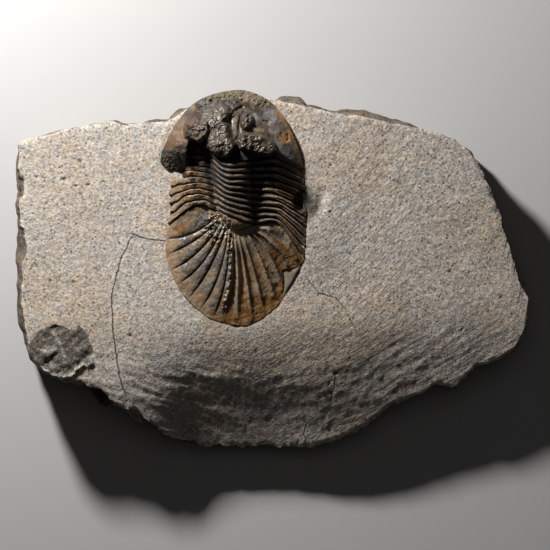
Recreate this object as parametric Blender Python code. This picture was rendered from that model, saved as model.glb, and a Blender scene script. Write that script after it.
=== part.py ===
"""A trilobite fossil standing in relief on its slab of limestone.

The slab lies on its flat back, worked face up. X runs across the animal, Y towards its head and Z up.
The origin is on the back, under the middle of the slab. Lengths below are in millimetres.
"""

import math

import bmesh
import bpy
from mathutils import Vector, noise

MM = 0.001
GAP = 0.3                   # clearance between neighbouring pieces
MIDDLE = (-1.283, 1.311)    # middle of the finished slab, measured from the drawing's own zero

# --- slab ---------------------------------------------------------------------------------------
FACE_LEVEL = 20.4           # worked face above the flat back
TAILWARD_FALL = 12.5        # how far the face drops towards the edge beyond the tail
RIGHTWARD_FALL = 4.0        # and towards the right-hand end
FOSSIL_MOUND = 0.8          # stone left standing round the animal
FACE_COLUMNS, FACE_ROWS = 42, 28
CROWDED_AT = (0.47, 0.62)   # the face's columns and rows stand closer together round the animal
CROWDING = 0.35
WALL_RINGS = 4
WALL_FLARE = 1.2            # the broken sides lean outwards this far at the back
LEFTWARD_FLARE = 1.0        # and further on the left and at the head's end, less on the right
HEADWARD_FLARE = 0.6
WALL_ROUGHNESS = 0.9

# The worked face's edge, as four sides that run left to right and bottom to top
TOP_EDGE = [(-68.1, 35.2), (-61, 37.2), (-53, 39.2), (-43.7, 40.8), (-35.8, 40.5), (-29.2, 41.6), (-26.5, 43.6),
            (-22.5, 45.4), (-18, 46.4), (-9.3, 47.2), (-1.9, 46.9), (2, 46.2), (6.6, 44.8), (17.2, 42.7),
            (29.2, 40.8), (39.8, 38.2), (47.7, 35.2), (51.7, 32.3)]
LEFT_EDGE = [(-65.7, -20.4), (-66.6, -13), (-67.1, -3), (-66.5, 6.6), (-68.1, 19.9), (-67.4, 27), (-68.1, 35.2)]
RIGHT_EDGE = [(68.1, -7.4), (66.8, -3), (64.9, 1.9), (60.2, 15.1), (56.5, 23.5), (54.3, 27.3), (51.7, 32.3)]
BOTTOM_EDGE = [(-65.7, -20.4), (-63.6, -23.1), (-57, -26.8), (-50.4, -28.6), (-45.1, -31), (-39.8, -34.5),
               (-33.1, -39.8), (-25.2, -43.2), (-18.6, -45.8), (-3.4, -46.1), (4, -45.4), (10.6, -46.3),
               (19.9, -42.7), (29.2, -37.9), (35, -33.6), (41.6, -31), (47.7, -31), (53.8, -25.7),
               (59.6, -22.5), (64.9, -18.6), (67.6, -13.3), (68.1, -7.4)]

# Lumps on the broken sides: middle x and y, half-length, how far each stands out
WALL_LUMPS = [(5, 45.5, 3.6, 2.2), (27, 41.2, 9, 1.4), (-26, 43, 5, 1.2), (-67, -3, 14, 1.6), (-68, 16, 9, 1.2),
              (62, 9, 14, 1), (-47, -30, 4, 3.6), (-58, -26, 5, 1.6), (-36, -38, 5, 1.6)]

CHIP_OUTLINE = [(-70, -20), (-66, -19), (-63.5, -15), (-61, -14.6), (-58.5, -13.4), (-57.6, -12.6), (-55, -14.6),
                (-53.6, -13.5), (-51, -15.2), (-49.2, -18), (-48.3, -22), (-49, -24.6), (-51.4, -24.4),
                (-53.4, -27.5), (-53, -31), (-64, -31)]
CHIP_DEPTH = 0.8

# --- trilobite ----------------------------------------------------------------------------------
UNDERSIDE = 18.0            # every plate's flat underside, in a pocket cut into the slab
SEGMENTS = 10
# Seven points across the thorax: tip, bend, furrow, crest, furrow, bend, tip
ACROSS = [0.0, 0.2, 0.38, 0.5, 0.62, 0.8, 1.0]
HEAD_SIDE_LINE = [(-27.8, 32.1), (-22.5, 32.9), (-17.8, 31.8), (-12.5, 31), (-6.6, 32.1), (-0.8, 31), (7.4, 27.3)]
TAIL_SIDE_LINE = [(-28.1, 14.3), (-20.9, 18.6), (-14.8, 17), (-10.3, 13.5), (-5.8, 14.3), (0.6, 12.9), (7.7, 4)]
TIP_RELIEF, BEND_RELIEF, FURROW_RELIEF, CREST_RELIEF = 0.25, 4.0, 3.6, 8.0
BAND_SWELL = 0.35           # each band is rounded from front to back
BAND_MARGIN = 0.09          # share of a band's length left free at its front and its back
HIDDEN_TIPS = 3             # the first bands end under the head's left cheek
SEGMENT_COLUMNS, SEGMENT_ROWS = 24, 2

HEAD_FRONT = [(-30.2, 31.8), (-29.4, 33.9), (-27.8, 37.4), (-25.7, 40.8), (-23.1, 44), (-19.9, 46.4),
              (-15.9, 48), (-11.9, 48.8), (-8.7, 49), (-5.6, 48.2), (-2.7, 46.9), (0, 44.8), (2.4, 41.6),
              (4.5, 37.6), (6.4, 32.9), (7.7, 27.8)]
CHEEK_REAR = [(-30.2, 28.9), (-28.4, 28.3), (-25.2, 28.3), (-23.4, 29), (-23.2, 33.2)]
HEAD_COLUMNS, HEAD_ROWS = 44, 22
HEAD_MIDDLE, HEAD_REACH = (-11.5, 30.0), (19.2, 19.0)
HEAD_RISE = 8.2
HEAD_EDGE_RELIEF = 0.5

TAIL_RIBS = 15              # seven on each side and one in the middle
# Where the furrows between the ribs reach the margin, left to right, between the two front corners
TAIL_MARGIN = [(-28.9, 9.8), (-28.9, 5.3), (-27.8, 1.3), (-26, -2.7), (-23.1, -6.6), (-19.9, -9.5),
               (-16.2, -11.9), (-8.5, -13.5), (-5, -12.4), (-2.1, -10.6), (0.8, -8), (2.9, -5.3), (4.8, -2.4),
               (6.4, 0.5)]
TAIL_AXIS_TIP = [(-13.9, 14.4), (-10.8, 11.5), (-7, 12.4)]
# Where the shell is broken off at the right: margin point by number, share of the way out that is left
TAIL_BREAK = [(11.5, 1.0), (12.0, 0.97), (12.5, 0.89), (13.0, 0.75), (13.5, 0.8), (14.0, 0.9), (14.5, 0.97),
              (15.0, 1.0)]
RIB_HEIGHT = 0.45
TAIL_EDGE_RELIEF = 0.5
COLUMNS_A_RIB, TAIL_ROWS = 5, 8
AXIS_SHARE = 0.14           # share of the tail's rows that cross its short axis

SHELL_COLOUR = (0.15, 0.105, 0.072, 1.0)
STONE_COLOUR = (0.5, 0.45, 0.39, 1.0)


# --- small helpers ------------------------------------------------------------------------------
def ramp(value, start, end):
    """0 at start and 1 at end, eased at both."""
    share = min(1.0, max(0.0, (value - start) / (end - start)))
    return share * share * (3 - 2 * share)


def swelling(x, y, middle, reach, turn=0.0):
    """A round bump of height 1 at middle that dies out at reach."""
    dx, dy = x - middle[0], y - middle[1]
    c, s = math.cos(math.radians(turn)), math.sin(math.radians(turn))
    across, along = (dx * c + dy * s) / reach[0], (dy * c - dx * s) / reach[1]
    return max(0.0, 1 - across * across - along * along) ** 1.5


def grain(x, y, size, seed=0.0):
    """Smooth noise from about -1 to 1, with features of this size."""
    return noise.noise(Vector((x / size, y / size, seed)))


def step_along(values, at):
    """(index, share) of the place at in a rising list."""
    index = 0
    while index < len(values) - 2 and at > values[index + 1]:
        index += 1
    return index, (at - values[index]) / (values[index + 1] - values[index])


def smooth_through(points, places, at):
    """The point at this place on a smooth curve through the points."""
    i, t = step_along(places, at)
    a, b = Vector(points[i]), Vector(points[i + 1])
    before = Vector(points[i - 1]) if i else 2 * a - b
    after = Vector(points[i + 2]) if i + 2 < len(points) else 2 * b - a
    return 0.5 * (2 * a + (b - before) * t + (2 * before - 5 * a + 4 * b - after) * t * t
                  + (3 * (a - b) + after - before) * t ** 3)


def straight_through(points, places, at):
    i, t = step_along(places, at)
    return Vector(points[i]).lerp(Vector(points[i + 1]), t)


def by_length(points):
    """How far along a line each of its points lies, as shares of its length."""
    along = [0.0]
    for a, b in zip(points, points[1:]):
        along.append(along[-1] + math.dist(a, b))
    return [value / along[-1] for value in along]


def height_at_x(points, x):
    """y of a line that runs left to right, at x."""
    i, t = step_along([p[0] for p in points], x)
    return points[i][1] + (points[i + 1][1] - points[i][1]) * t


# --- stone surface ------------------------------------------------------------------------------
def bedding(x, y):
    """Level that the worked stone and the animal's edge share."""
    level = FACE_LEVEL + FOSSIL_MOUND * swelling(x, y, (-10, 19), (34, 44))
    level -= TAILWARD_FALL * ramp(y, -11, -52)
    return level - RIGHTWARD_FALL * ramp(x, 5, 75)


def trough(x, y):
    """The hollow worked out beside the right of the thorax, deepest at its tail end."""
    middle = 11.6 - 0.02 * (y - 20) ** 2 * (y > 20) * 0.6
    across = (x - middle) / (4.0 if x < middle else 2.0)
    depth = 2.4 * ramp(y, 38, 20) * ramp(y, 14.3, 17.6)
    return depth * max(0.0, 1 - across * across) ** 1.5


def stone_face(x, y):
    level = bedding(x, y) - trough(x, y)
    level -= 1.3 * swelling(x, y, (-12.5, -31.5), (9, 4.5), -12)
    level += 0.7 * swelling(x, y, (-16, -38), (16, 4), -10)
    level += 0.6 * swelling(x, y, (12, -26), (16, 5), 12)
    level += 0.9 * swelling(x, y, (4.2, -1.4), (4.2, 6), 25)
    return level + 0.3 * grain(x, y, 12) + 0.15 * grain(x, y, 5, 3.0)


def crowded(share, at):
    """A share from 0 to 1, drawn towards this place."""
    turn = 2 * math.pi
    return share - CROWDING / turn * (math.sin(turn * (share - at)) + math.sin(turn * at))


def face_point(column, row):
    """A point of the worked face, blended from the four sides of its edge."""
    u, v = crowded(column, CROWDED_AT[0]), crowded(row, CROWDED_AT[1])
    sides = [(edge, straight_through(edge, by_length(edge), at))
             for edge, at in ((BOTTOM_EDGE, u), (TOP_EDGE, u), (LEFT_EDGE, v), (RIGHT_EDGE, v))]
    bottom, top, left, right = [point for _, point in sides]
    corners = (Vector(BOTTOM_EDGE[0]).lerp(Vector(BOTTOM_EDGE[-1]), u) * (1 - v)
               + Vector(TOP_EDGE[0]).lerp(Vector(TOP_EDGE[-1]), u) * v)
    spot = bottom.lerp(top, v) + left.lerp(right, u) - corners
    return Vector((spot.x, spot.y, stone_face(spot.x, spot.y)))


def wall_point(rim, share):
    """Where the broken side stands at this share of the way from the rim down to the back."""
    out = Vector((rim.x / 70 ** 2, rim.y / 48 ** 2)).normalized()
    flare = WALL_FLARE - LEFTWARD_FLARE * out.x + HEADWARD_FLARE * out.y
    flare += sum(lump * math.exp(-((rim.x - x) ** 2 + (rim.y - y) ** 2) / reach ** 2)
                 for x, y, reach, lump in WALL_LUMPS)
    height = rim.z * (1 - share)
    rough = noise.noise(Vector((rim.x / 6, rim.y / 6, height / 5)))
    reach = flare * share ** 0.6 + WALL_ROUGHNESS * rough * math.sin(math.pi * min(share, 0.9))
    return Vector((rim.x + out.x * reach, rim.y + out.y * reach, height))


# --- animal's surface ---------------------------------------------------------------------------
def thorax_line(u, band):
    """A point across the thorax on the front line of this band, counted from the head."""
    share = band / SEGMENTS
    line = [Vector(a).lerp(Vector(b), share) for a, b in zip(HEAD_SIDE_LINE, TAIL_SIDE_LINE)]
    return smooth_through(line, ACROSS, u)


def thorax_relief(u):
    """Height over the bedding across the thorax: steep flanks, level shoulders, a high middle lobe."""
    from_middle = abs(u - 0.5)
    lobe = ACROSS[4] - 0.5
    if from_middle < lobe:
        rise = math.sqrt(max(0.0, 1 - (from_middle / lobe) ** 2))
        return FURROW_RELIEF + (CREST_RELIEF - FURROW_RELIEF) * rise
    bend = ACROSS[5] - 0.5
    if from_middle < bend:
        return FURROW_RELIEF + (BEND_RELIEF - FURROW_RELIEF) * ramp(from_middle, lobe, bend)
    out = (from_middle - bend) / (0.5 - bend)
    return TIP_RELIEF + (BEND_RELIEF - TIP_RELIEF) * (1 - out ** 1.7)


def segment_point(number):
    def point(u, v):
        start = ACROSS[1] - 0.01 if number < HIDDEN_TIPS else 0.0
        across = start + (1 - start) * u
        spot = thorax_line(across, number + 1 - BAND_MARGIN - v * (1 - 2 * BAND_MARGIN))
        swell = BAND_SWELL * (4 * v * (1 - v)) ** 0.6
        return Vector((spot.x, spot.y, bedding(spot.x, spot.y) + thorax_relief(across) + swell))
    return point


def glabella(x, y):
    """1 on the club-shaped lobe down the middle of the head, which widens towards the front."""
    middle = -14 + 3.2 * ramp(y, 34, 41) + 1.3 * ramp(y, 41, 47)
    half_width = 4.2 - 0.6 * ramp(y, 33, 37) + 5.2 * ramp(y, 38, 47)
    return ramp(half_width - abs(x - middle), -1.2, 1.2)


def head_relief(x, y):
    """Height over the bedding on the head: a dome, its three lobes, then the furrows and hollows cut in them."""
    dx, dy = (x - HEAD_MIDDLE[0]) / HEAD_REACH[0], (y - HEAD_MIDDLE[1]) / HEAD_REACH[1]
    out = math.hypot(dx, dy)
    relief = HEAD_EDGE_RELIEF + HEAD_RISE * max(0.0, 1 - out ** 2.3)
    middle_lobe = 1.6 * glabella(x, y) * ramp(out, 1.0, 0.7) + 1.3 * swelling(x, y, (-14, 33.6), (5.6, 4.6))
    left_eye = 3.2 * ramp(swelling(x, y, (-19.8, 38), (6.4, 4.8), -15), 0.0, 0.5)
    right_eye = 3.5 * ramp(swelling(x, y, (-4.9, 35.4), (6.8, 5.2), 6), 0.0, 0.5)
    relief += max(middle_lobe, left_eye, right_eye)
    relief += 0.8 * swelling(x, y, (-10.6, 39.9), (1.8, 5.4), 6)        # finger ridge
    relief += 0.8 * swelling(x, y, (-26.8, 31), (4.6, 4.4))             # cheek corner
    relief -= 1.5 * swelling(x, y, (-8.6, 41.2), (1.5, 4.6), -14)       # furrow beside the ridge
    relief -= 2.0 * swelling(x, y, (-2.4, 43.2), (5, 4), -25)           # hollow ahead of the right eye
    relief -= 4.2 * swelling(x, y, (-20.8, 33.6), (4.4, 3.6))           # drop behind the left eye
    relief -= 3.0 * swelling(x, y, (-10.2, 31.6), (2, 3.2))             # notch behind the right eye
    return relief


def head_rear_line():
    """The head's rear edge from the left cheek's corner to the right one, a gap ahead of the first band."""
    return CHEEK_REAR + [tuple(thorax_line(0.2 + 0.8 * i / 60, -BAND_MARGIN)) for i in range(61)]


def head_point(u, v):
    rear = straight_through(REAR_LINE, REAR_PLACES, u)
    x, y = rear.lerp(straight_through(HEAD_FRONT, FRONT_PLACES, u), v)
    return Vector((x, y, bedding(x, y) + head_relief(x, y)))


def tail_front(across):
    """The tail's front edge, a gap behind the last band."""
    return thorax_line(across, SEGMENTS + BAND_MARGIN)


def tail_axis(u):
    """The outline of the tail's short axis, from its left front corner round its tip to the right."""
    outline = [tail_front(ACROSS[2])] + TAIL_AXIS_TIP + [tail_front(ACROSS[4])]
    return smooth_through(outline, by_length(outline), u)


def tail_edge(place):
    """The tail's margin at this place, counted in ribs from the left, with the broken corner taken in."""
    margin = [tail_front(0.0)] + TAIL_MARGIN + [tail_front(1.0)]
    whole = smooth_through(margin, range(TAIL_RIBS + 1), place)
    left = height_at_x(TAIL_BREAK, place) if place > TAIL_BREAK[0][0] else 1.0
    return tail_axis(place / TAIL_RIBS).lerp(whole, left), left


def rib_profile(u):
    """1 on a rib's flat back and 0 in the narrow furrow between two ribs."""
    place = u * TAIL_RIBS
    return ramp(2 * abs(place - round(place)), 0.0, 0.55)


def tail_point(u, v):
    axis = tail_axis(u)
    if v < AXIS_SHARE:
        share = v / AXIS_SHARE
        across = ACROSS[2] + (ACROSS[4] - ACROSS[2]) * u
        spot = tail_front(across).lerp(axis, share)
        relief = thorax_relief(across) * (1 - share) + FURROW_RELIEF * share
        return Vector((spot.x, spot.y, bedding(spot.x, spot.y) + relief))
    out = (v - AXIS_SHARE) / (1 - AXIS_SHARE)
    edge, left = tail_edge(u * TAIL_RIBS)
    spot = axis.lerp(edge, out)
    reached = out * left
    relief = TAIL_EDGE_RELIEF + (FURROW_RELIEF - TAIL_EDGE_RELIEF) * (1 - reached ** 1.7)
    relief += RIB_HEIGHT * rib_profile(u) * ramp(reached, 0.0, 0.25) * ramp(reached, 1.05, 0.85)
    # The first rib on each side takes its front edge from the last band
    on_left = u < 0.5
    across = ACROSS[2] * (1 - out) if on_left else ACROSS[4] + (1 - ACROSS[4]) * out
    corner = tail_front(0.0 if on_left else 1.0)
    joining = ramp(min(u, 1 - u) * TAIL_RIBS, 1.0, 0.0)
    spot += (tail_front(across) - tail_axis(round(u)).lerp(corner, out)) * joining
    relief += (thorax_relief(across) - relief) * joining
    return Vector((spot.x, spot.y, bedding(spot.x, spot.y) + relief))


# --- solids -------------------------------------------------------------------------------------
def on_frame(point):
    """A drawn point in millimetres, as a place in the finished frame in metres."""
    return Vector((point.x - MIDDLE[0], point.y - MIDDLE[1], point.z)) * MM


def off_frame(place):
    return Vector((place.x / MM + MIDDLE[0], place.y / MM + MIDDLE[1], place.z / MM))


def sheet_to_block(name, columns, rows, surface, side, rings, material, collection):
    """A closed block: a grid laid on a surface, its edge carried down by rings to a flat underside."""
    bm = bmesh.new()
    bmesh.ops.create_grid(bm, x_segments=columns, y_segments=rows, size=0.5)
    for vertex in bm.verts:
        vertex.co = on_frame(surface(vertex.co.x + 0.5, vertex.co.y + 0.5))
    edge = [e for e in bm.edges if e.is_boundary]
    rims = {v: off_frame(v.co) for e in edge for v in e.verts}
    for ring in range(1, rings + 1):
        made = bmesh.ops.extrude_edge_only(bm, edges=edge)["geom"]
        new = {item for item in made if isinstance(item, bmesh.types.BMVert)}
        edge = [item for item in made if isinstance(item, bmesh.types.BMEdge)
                and item.verts[0] in new and item.verts[1] in new]
        above = {v: next(e.other_vert(v) for e in v.link_edges if e.other_vert(v) not in new) for v in new}
        rims = {v: rims[above[v]] for v in new}
        for vertex, rim in rims.items():
            vertex.co = on_frame(side(rim, ring / rings))
    bmesh.ops.contextual_create(bm, geom=edge)
    bmesh.ops.recalc_face_normals(bm, faces=bm.faces)
    mesh = bpy.data.meshes.new(name)
    bm.to_mesh(mesh)
    bm.free()
    mesh.shade_smooth()
    mesh.set_sharp_from_angle(angle=math.radians(40))
    mesh.materials.append(material)
    block = bpy.data.objects.new(name, mesh)
    collection.objects.link(block)
    return block


def plate_side(rim, share):
    return Vector((rim.x, rim.y, UNDERSIDE))


def make_plate(name, columns, rows, surface, material, collection):
    return sheet_to_block(name, columns, rows, surface, plate_side, 1, material, collection)


def make_cutter(name, outline, low, high, collection):
    """A straight-sided cutter over a drawn outline."""
    bm = bmesh.new()
    ring = [bm.verts.new(on_frame(Vector((x, y, low)))) for x, y in outline]
    floor = bm.faces.new(ring)
    made = bmesh.ops.extrude_face_region(bm, geom=[floor])["geom"]
    raised = [item for item in made if isinstance(item, bmesh.types.BMVert)]
    bmesh.ops.translate(bm, verts=raised, vec=(0, 0, (high - low) * MM))
    bmesh.ops.recalc_face_normals(bm, faces=bm.faces)
    mesh = bpy.data.meshes.new(name)
    bm.to_mesh(mesh)
    bm.free()
    cutter = bpy.data.objects.new(name, mesh)
    cutter.hide_render = True
    cutter.display_type = "WIRE"
    collection.objects.link(cutter)
    return cutter


def animal_outline():
    """The whole animal's edge in plan, head front first, clockwise."""
    outline = [Vector(p) for p in HEAD_FRONT]
    outline += [thorax_line(1.0, band) for band in range(1, SEGMENTS)]
    outline += [tail_edge(TAIL_RIBS - i / 2)[0] for i in range(2 * TAIL_RIBS + 1)]
    outline += [thorax_line(0.0, band) for band in range(SEGMENTS, HIDDEN_TIPS, -1)]
    return outline + [Vector(CHEEK_REAR[1]), Vector(CHEEK_REAR[0])]


def grown(outline, by):
    """A clockwise outline moved outwards by this much."""
    moved = []
    for before, here, after in zip(outline[-1:] + outline[:-1], outline, outline[1:] + outline[:1]):
        way = (after - before).normalized()
        moved.append((here.x - way.y * by, here.y + way.x * by))
    return moved


def cut_away(target, cutter):
    cut = target.modifiers.new("Cut " + cutter.name, "BOOLEAN")
    cut.operation = "DIFFERENCE"
    cut.solver = "EXACT"
    cut.object = cutter


def make_material(name, colour, roughness):
    material = bpy.data.materials.new(name)
    material.use_nodes = True
    shader = material.node_tree.nodes["Principled BSDF"]
    shader.inputs["Base Color"].default_value = colour
    shader.inputs["Roughness"].default_value = roughness
    material.diffuse_color = colour
    return material


def make_collection(name):
    collection = bpy.data.collections.new(name)
    bpy.context.scene.collection.children.link(collection)
    return collection


REAR_LINE = head_rear_line()
REAR_PLACES, FRONT_PLACES = by_length(REAR_LINE), by_length(HEAD_FRONT)

for old in list(bpy.data.objects):
    bpy.data.objects.remove(old, do_unlink=True)

fossil = make_collection("Trilobite fossil")
cutters = make_collection("Cutters")
stone = make_material("Limestone", STONE_COLOUR, 0.9)
shell = make_material("Fossil shell", SHELL_COLOUR, 0.45)

slab = sheet_to_block("matrix_slab", FACE_COLUMNS, FACE_ROWS, face_point, wall_point, WALL_RINGS, stone, fossil)
pocket = make_cutter("pocket", grown(animal_outline(), GAP + 0.1), UNDERSIDE - GAP, UNDERSIDE + 20, cutters)
chip = make_cutter("chip", CHIP_OUTLINE, bedding(-60, -20) - CHIP_DEPTH, UNDERSIDE + 20, cutters)
cut_away(slab, pocket)
cut_away(slab, chip)

make_plate("head_shield", HEAD_COLUMNS, HEAD_ROWS, head_point, shell, fossil)
for number in range(SEGMENTS):
    make_plate(f"thorax_segment_{number + 1:02d}", SEGMENT_COLUMNS, SEGMENT_ROWS, segment_point(number), shell,
               fossil)
make_plate("tail_shield", TAIL_RIBS * COLUMNS_A_RIB, TAIL_ROWS, tail_point, shell, fossil)
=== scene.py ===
import math

import bpy
import numpy as np
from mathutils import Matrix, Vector


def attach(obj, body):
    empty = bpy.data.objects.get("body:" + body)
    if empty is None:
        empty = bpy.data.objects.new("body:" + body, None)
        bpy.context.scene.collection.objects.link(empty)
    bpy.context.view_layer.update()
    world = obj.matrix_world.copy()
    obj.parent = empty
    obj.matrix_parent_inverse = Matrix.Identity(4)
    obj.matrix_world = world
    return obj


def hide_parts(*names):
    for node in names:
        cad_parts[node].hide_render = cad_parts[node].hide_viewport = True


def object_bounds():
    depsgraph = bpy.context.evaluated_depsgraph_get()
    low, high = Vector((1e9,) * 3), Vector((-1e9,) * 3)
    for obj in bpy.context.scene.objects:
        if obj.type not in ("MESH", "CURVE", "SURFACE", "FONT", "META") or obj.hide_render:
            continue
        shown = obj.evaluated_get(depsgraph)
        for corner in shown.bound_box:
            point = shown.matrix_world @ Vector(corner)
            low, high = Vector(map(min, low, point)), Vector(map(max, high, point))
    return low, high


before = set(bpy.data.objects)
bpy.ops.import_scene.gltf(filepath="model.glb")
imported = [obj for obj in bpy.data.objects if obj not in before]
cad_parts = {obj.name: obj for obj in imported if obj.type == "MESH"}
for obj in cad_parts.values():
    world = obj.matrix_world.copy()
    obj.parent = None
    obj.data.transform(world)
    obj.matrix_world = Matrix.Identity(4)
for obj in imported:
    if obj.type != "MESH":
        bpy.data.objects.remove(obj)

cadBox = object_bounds()
print("frame loaded:", len(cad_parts), "nodes")

# Everything is drawn in millimetres from a zero beside the tail, x to the right and y towards the head
mm = 0.001
slabMiddle = (-1.283, 1.311)  # middle of the slab in the drawing
slabCentre = np.array(slabMiddle + (0.0,))


# Shape helpers, all on whole arrays of points

def ease(value, start, end):  # 0 at start, 1 at end, soft at both
    share = np.clip((value - start) / (end - start), 0.0, 1.0)
    return share * share * (3 - 2 * share)


def mixed(first, second, share):
    return first + (second - first) * share


def swelling(x, y, middle, reach, turn=0.0):  # round bump of height 1
    c, s = math.cos(math.radians(turn)), math.sin(math.radians(turn))
    dx, dy = x - middle[0], y - middle[1]
    a, b = (dx * c + dy * s) / reach[0], (dy * c - dx * s) / reach[1]
    return np.maximum(0.0, 1 - a ** 2 - b ** 2) ** 1.5


def spots(x, y, places):  # soft spots, each with its strength, middle, reach and any turn
    return sum(strength * swelling(x, y, *place) for strength, *place in places)


def scattered(ix, iy, iz, seed):  # a fixed random value from -1 to 1 for each whole-numbered place
    bits = (ix * 374761393 + iy * 668265263 + iz * 2246822519 + seed * 3266489917) & 0xFFFFFFFF
    bits = ((bits ^ (bits >> 13)) * 1274126177) & 0xFFFFFFFF
    return ((bits ^ (bits >> 16)) & 0xFFFF) / 32767.5 - 1.0


def smoothNoise(x, y, z, seed):
    cells = [np.floor(v).astype(np.int64) for v in (x, y, z)]
    shares = [v - c for v, c in zip((x, y, z), cells)]
    sx, sy, sz = [s * s * s * (s * (s * 6 - 15) + 10) for s in shares]
    total = 0.0
    for ox in (0, 1):
        for oy in (0, 1):
            for oz in (0, 1):
                weight = (sx if ox else 1 - sx) * (sy if oy else 1 - sy) * (sz if oz else 1 - sz)
                total = total + weight * scattered(cells[0] + ox, cells[1] + oy, cells[2] + oz, seed)
    return total


def grain(x, y, size, z=0.0, seed=1, octaves=1, gain=0.5):
    total, strength = 0.0, 1.0
    x, y, z = np.broadcast_arrays(x, y, z)
    for octave in range(octaves):
        x, y = 0.8 * x + 0.6 * y, 0.8 * y - 0.6 * x  # turned, so that the lattices never line up
        total = total + strength * smoothNoise(x / size, y / size, z / size + 0.37, seed + octave)
        size, strength = size / 2.03, strength * gain
    return total


def strokes(x, y, turn, length, width, seed):  # noise drawn out along one direction
    c, s = math.cos(math.radians(turn)), math.sin(math.radians(turn))
    return grain((x * c + y * s) / length, (y * c - x * s) / width, 1.0, seed=seed, octaves=2)


def pebbles(x, y, size, seed):  # 1 on top of each granule, 0 between them
    px, py = x / size, y / size
    ix, iy = np.floor(px).astype(np.int64), np.floor(py).astype(np.int64)
    height = np.zeros_like(px)
    for ox in (-1, 0, 1):
        for oy in (-1, 0, 1):
            cx, cy = ix + ox, iy + oy
            jx = cx + 0.5 + 0.4 * scattered(cx, cy, cx * 0, seed)
            jy = cy + 0.5 + 0.4 * scattered(cx, cy, cx * 0 + 1, seed)
            radius = 0.52 + 0.16 * scattered(cx, cy, cx * 0 + 2, seed)
            away = np.hypot(px - jx, py - jy) / radius
            height = np.maximum(height, np.sqrt(np.maximum(0.0, 1 - away ** 2)) * radius / 0.68)
    return height


def bumps(x, y, places, reach):  # separate round knobs
    return np.maximum.reduce([swelling(x, y, place, (reach, reach)) for place in places])


def unitGrid(columns, rows, start=0.0):
    return np.meshgrid(np.linspace(start, 1, columns + 1), np.linspace(0, 1, rows + 1))


def placesAlong(points):  # how far along a line each point lies, from 0 to 1
    steps = np.hypot(*np.diff(np.array(points, float), axis=0).T)
    return np.concatenate([[0.0], np.cumsum(steps)]) / steps.sum()


def sharesOf(points, axis):  # the same, measured along one axis only
    held = np.array(points, float)[:, axis]
    return (held - held[0]) / (held[-1] - held[0])


def lineThrough(points, places, at):  # straight runs between the points
    points = np.array(points, float)
    return np.stack([np.interp(at, places, points[:, k]) for k in (0, 1)], -1)


def curveThrough(points, places, at):  # smooth curve; points may differ for each place asked for
    points = np.asarray(points, float)
    before, after = 2 * points[0] - points[1], 2 * points[-1] - points[-2]
    held = np.concatenate([before[None], points, after[None]])
    index = np.clip(np.searchsorted(places, at, "right") - 1, 0, len(places) - 2)
    places = np.asarray(places, float)
    t = ((at - places[index]) / (places[index + 1] - places[index]))[..., None]
    if held.ndim == 2:
        p, a, b, n = (held[index + k] for k in range(4))
    else:
        asked = np.arange(len(index))
        p, a, b, n = (held[index + k, asked] for k in range(4))
    square, cube = 2 * p - 5 * a + 4 * b - n, 3 * (a - b) + n - p
    return 0.5 * (2 * a + (b - p) * t + square * t ** 2 + cube * t ** 3)


def awayFrom(x, y, path):  # distance to a drawn line
    least = np.full(np.shape(x), 1e9)
    for (ax, ay), (bx, by) in zip(path, path[1:]):
        run = (bx - ax) ** 2 + (by - ay) ** 2 + 1e-9
        t = np.clip(((x - ax) * (bx - ax) + (y - ay) * (by - ay)) / run, 0, 1)
        least = np.minimum(least, np.hypot(x - ax - t * (bx - ax), y - ay - t * (by - ay)))
    return least


def along(x, y, path, reach):  # 1 on a drawn line, fading to 0 beside it
    return np.exp(-(awayFrom(x, y, path) / reach) ** 2)


def outsideOf(x, y, outline):  # distance outside a closed outline, negative inside
    ring = list(outline) + [outline[0]]
    inside = np.zeros(np.shape(x), bool)
    for (ax, ay), (bx, by) in zip(ring, ring[1:]):
        if ay != by:
            inside ^= ((ay > y) != (by > y)) & (x < (bx - ax) * (y - ay) / (by - ay) + ax)
    away = awayFrom(x, y, ring)
    return np.where(inside, -away, away)


# The animal's plan and relief, which its plates and the stone round them share

animal = {
    "underside": 18.0,
    "segments": 10,
    "headSideLine": [(-27.8, 32.1), (-22.5, 32.9), (-17.8, 33.1), (-12.9, 29.6), (-6.2, 30.4),
                     (-0.2, 31), (7.4, 27.3)],
    "tailSideLine": [(-28.4, 12.8), (-20.9, 18.3), (-15.2, 16.8), (-11.7, 15.3), (-5.6, 13.2),
                     (1.1, 13.2), (7.7, 4)],
    "crowdedTo": [-0.13, -0.02, 0, 0, 0, 0.05, -0.08],  # how far the middle bands sit off even spacing
    "across": [0.0, 0.2, 0.38, 0.5, 0.62, 0.8, 1.0],  # tip, bend, furrow, crest, furrow, bend, tip
    "tipRelief": (0.3, 0.1), "bendRelief": (4.0, 3.0), "furrowRelief": 3.3,  # pairs are left and right
    "crestRelief": (9.0, 6.1), "crestLean": 0.22,  # high behind the head, low at the tail
    "tipBulge": 0.7,  # how far the middle right tips stand out
    "hiddenTips": 5,  # bands whose left tips the head covers
    "gap": 0.09,  # share of a band between two solids
}
across = animal["across"]

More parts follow.
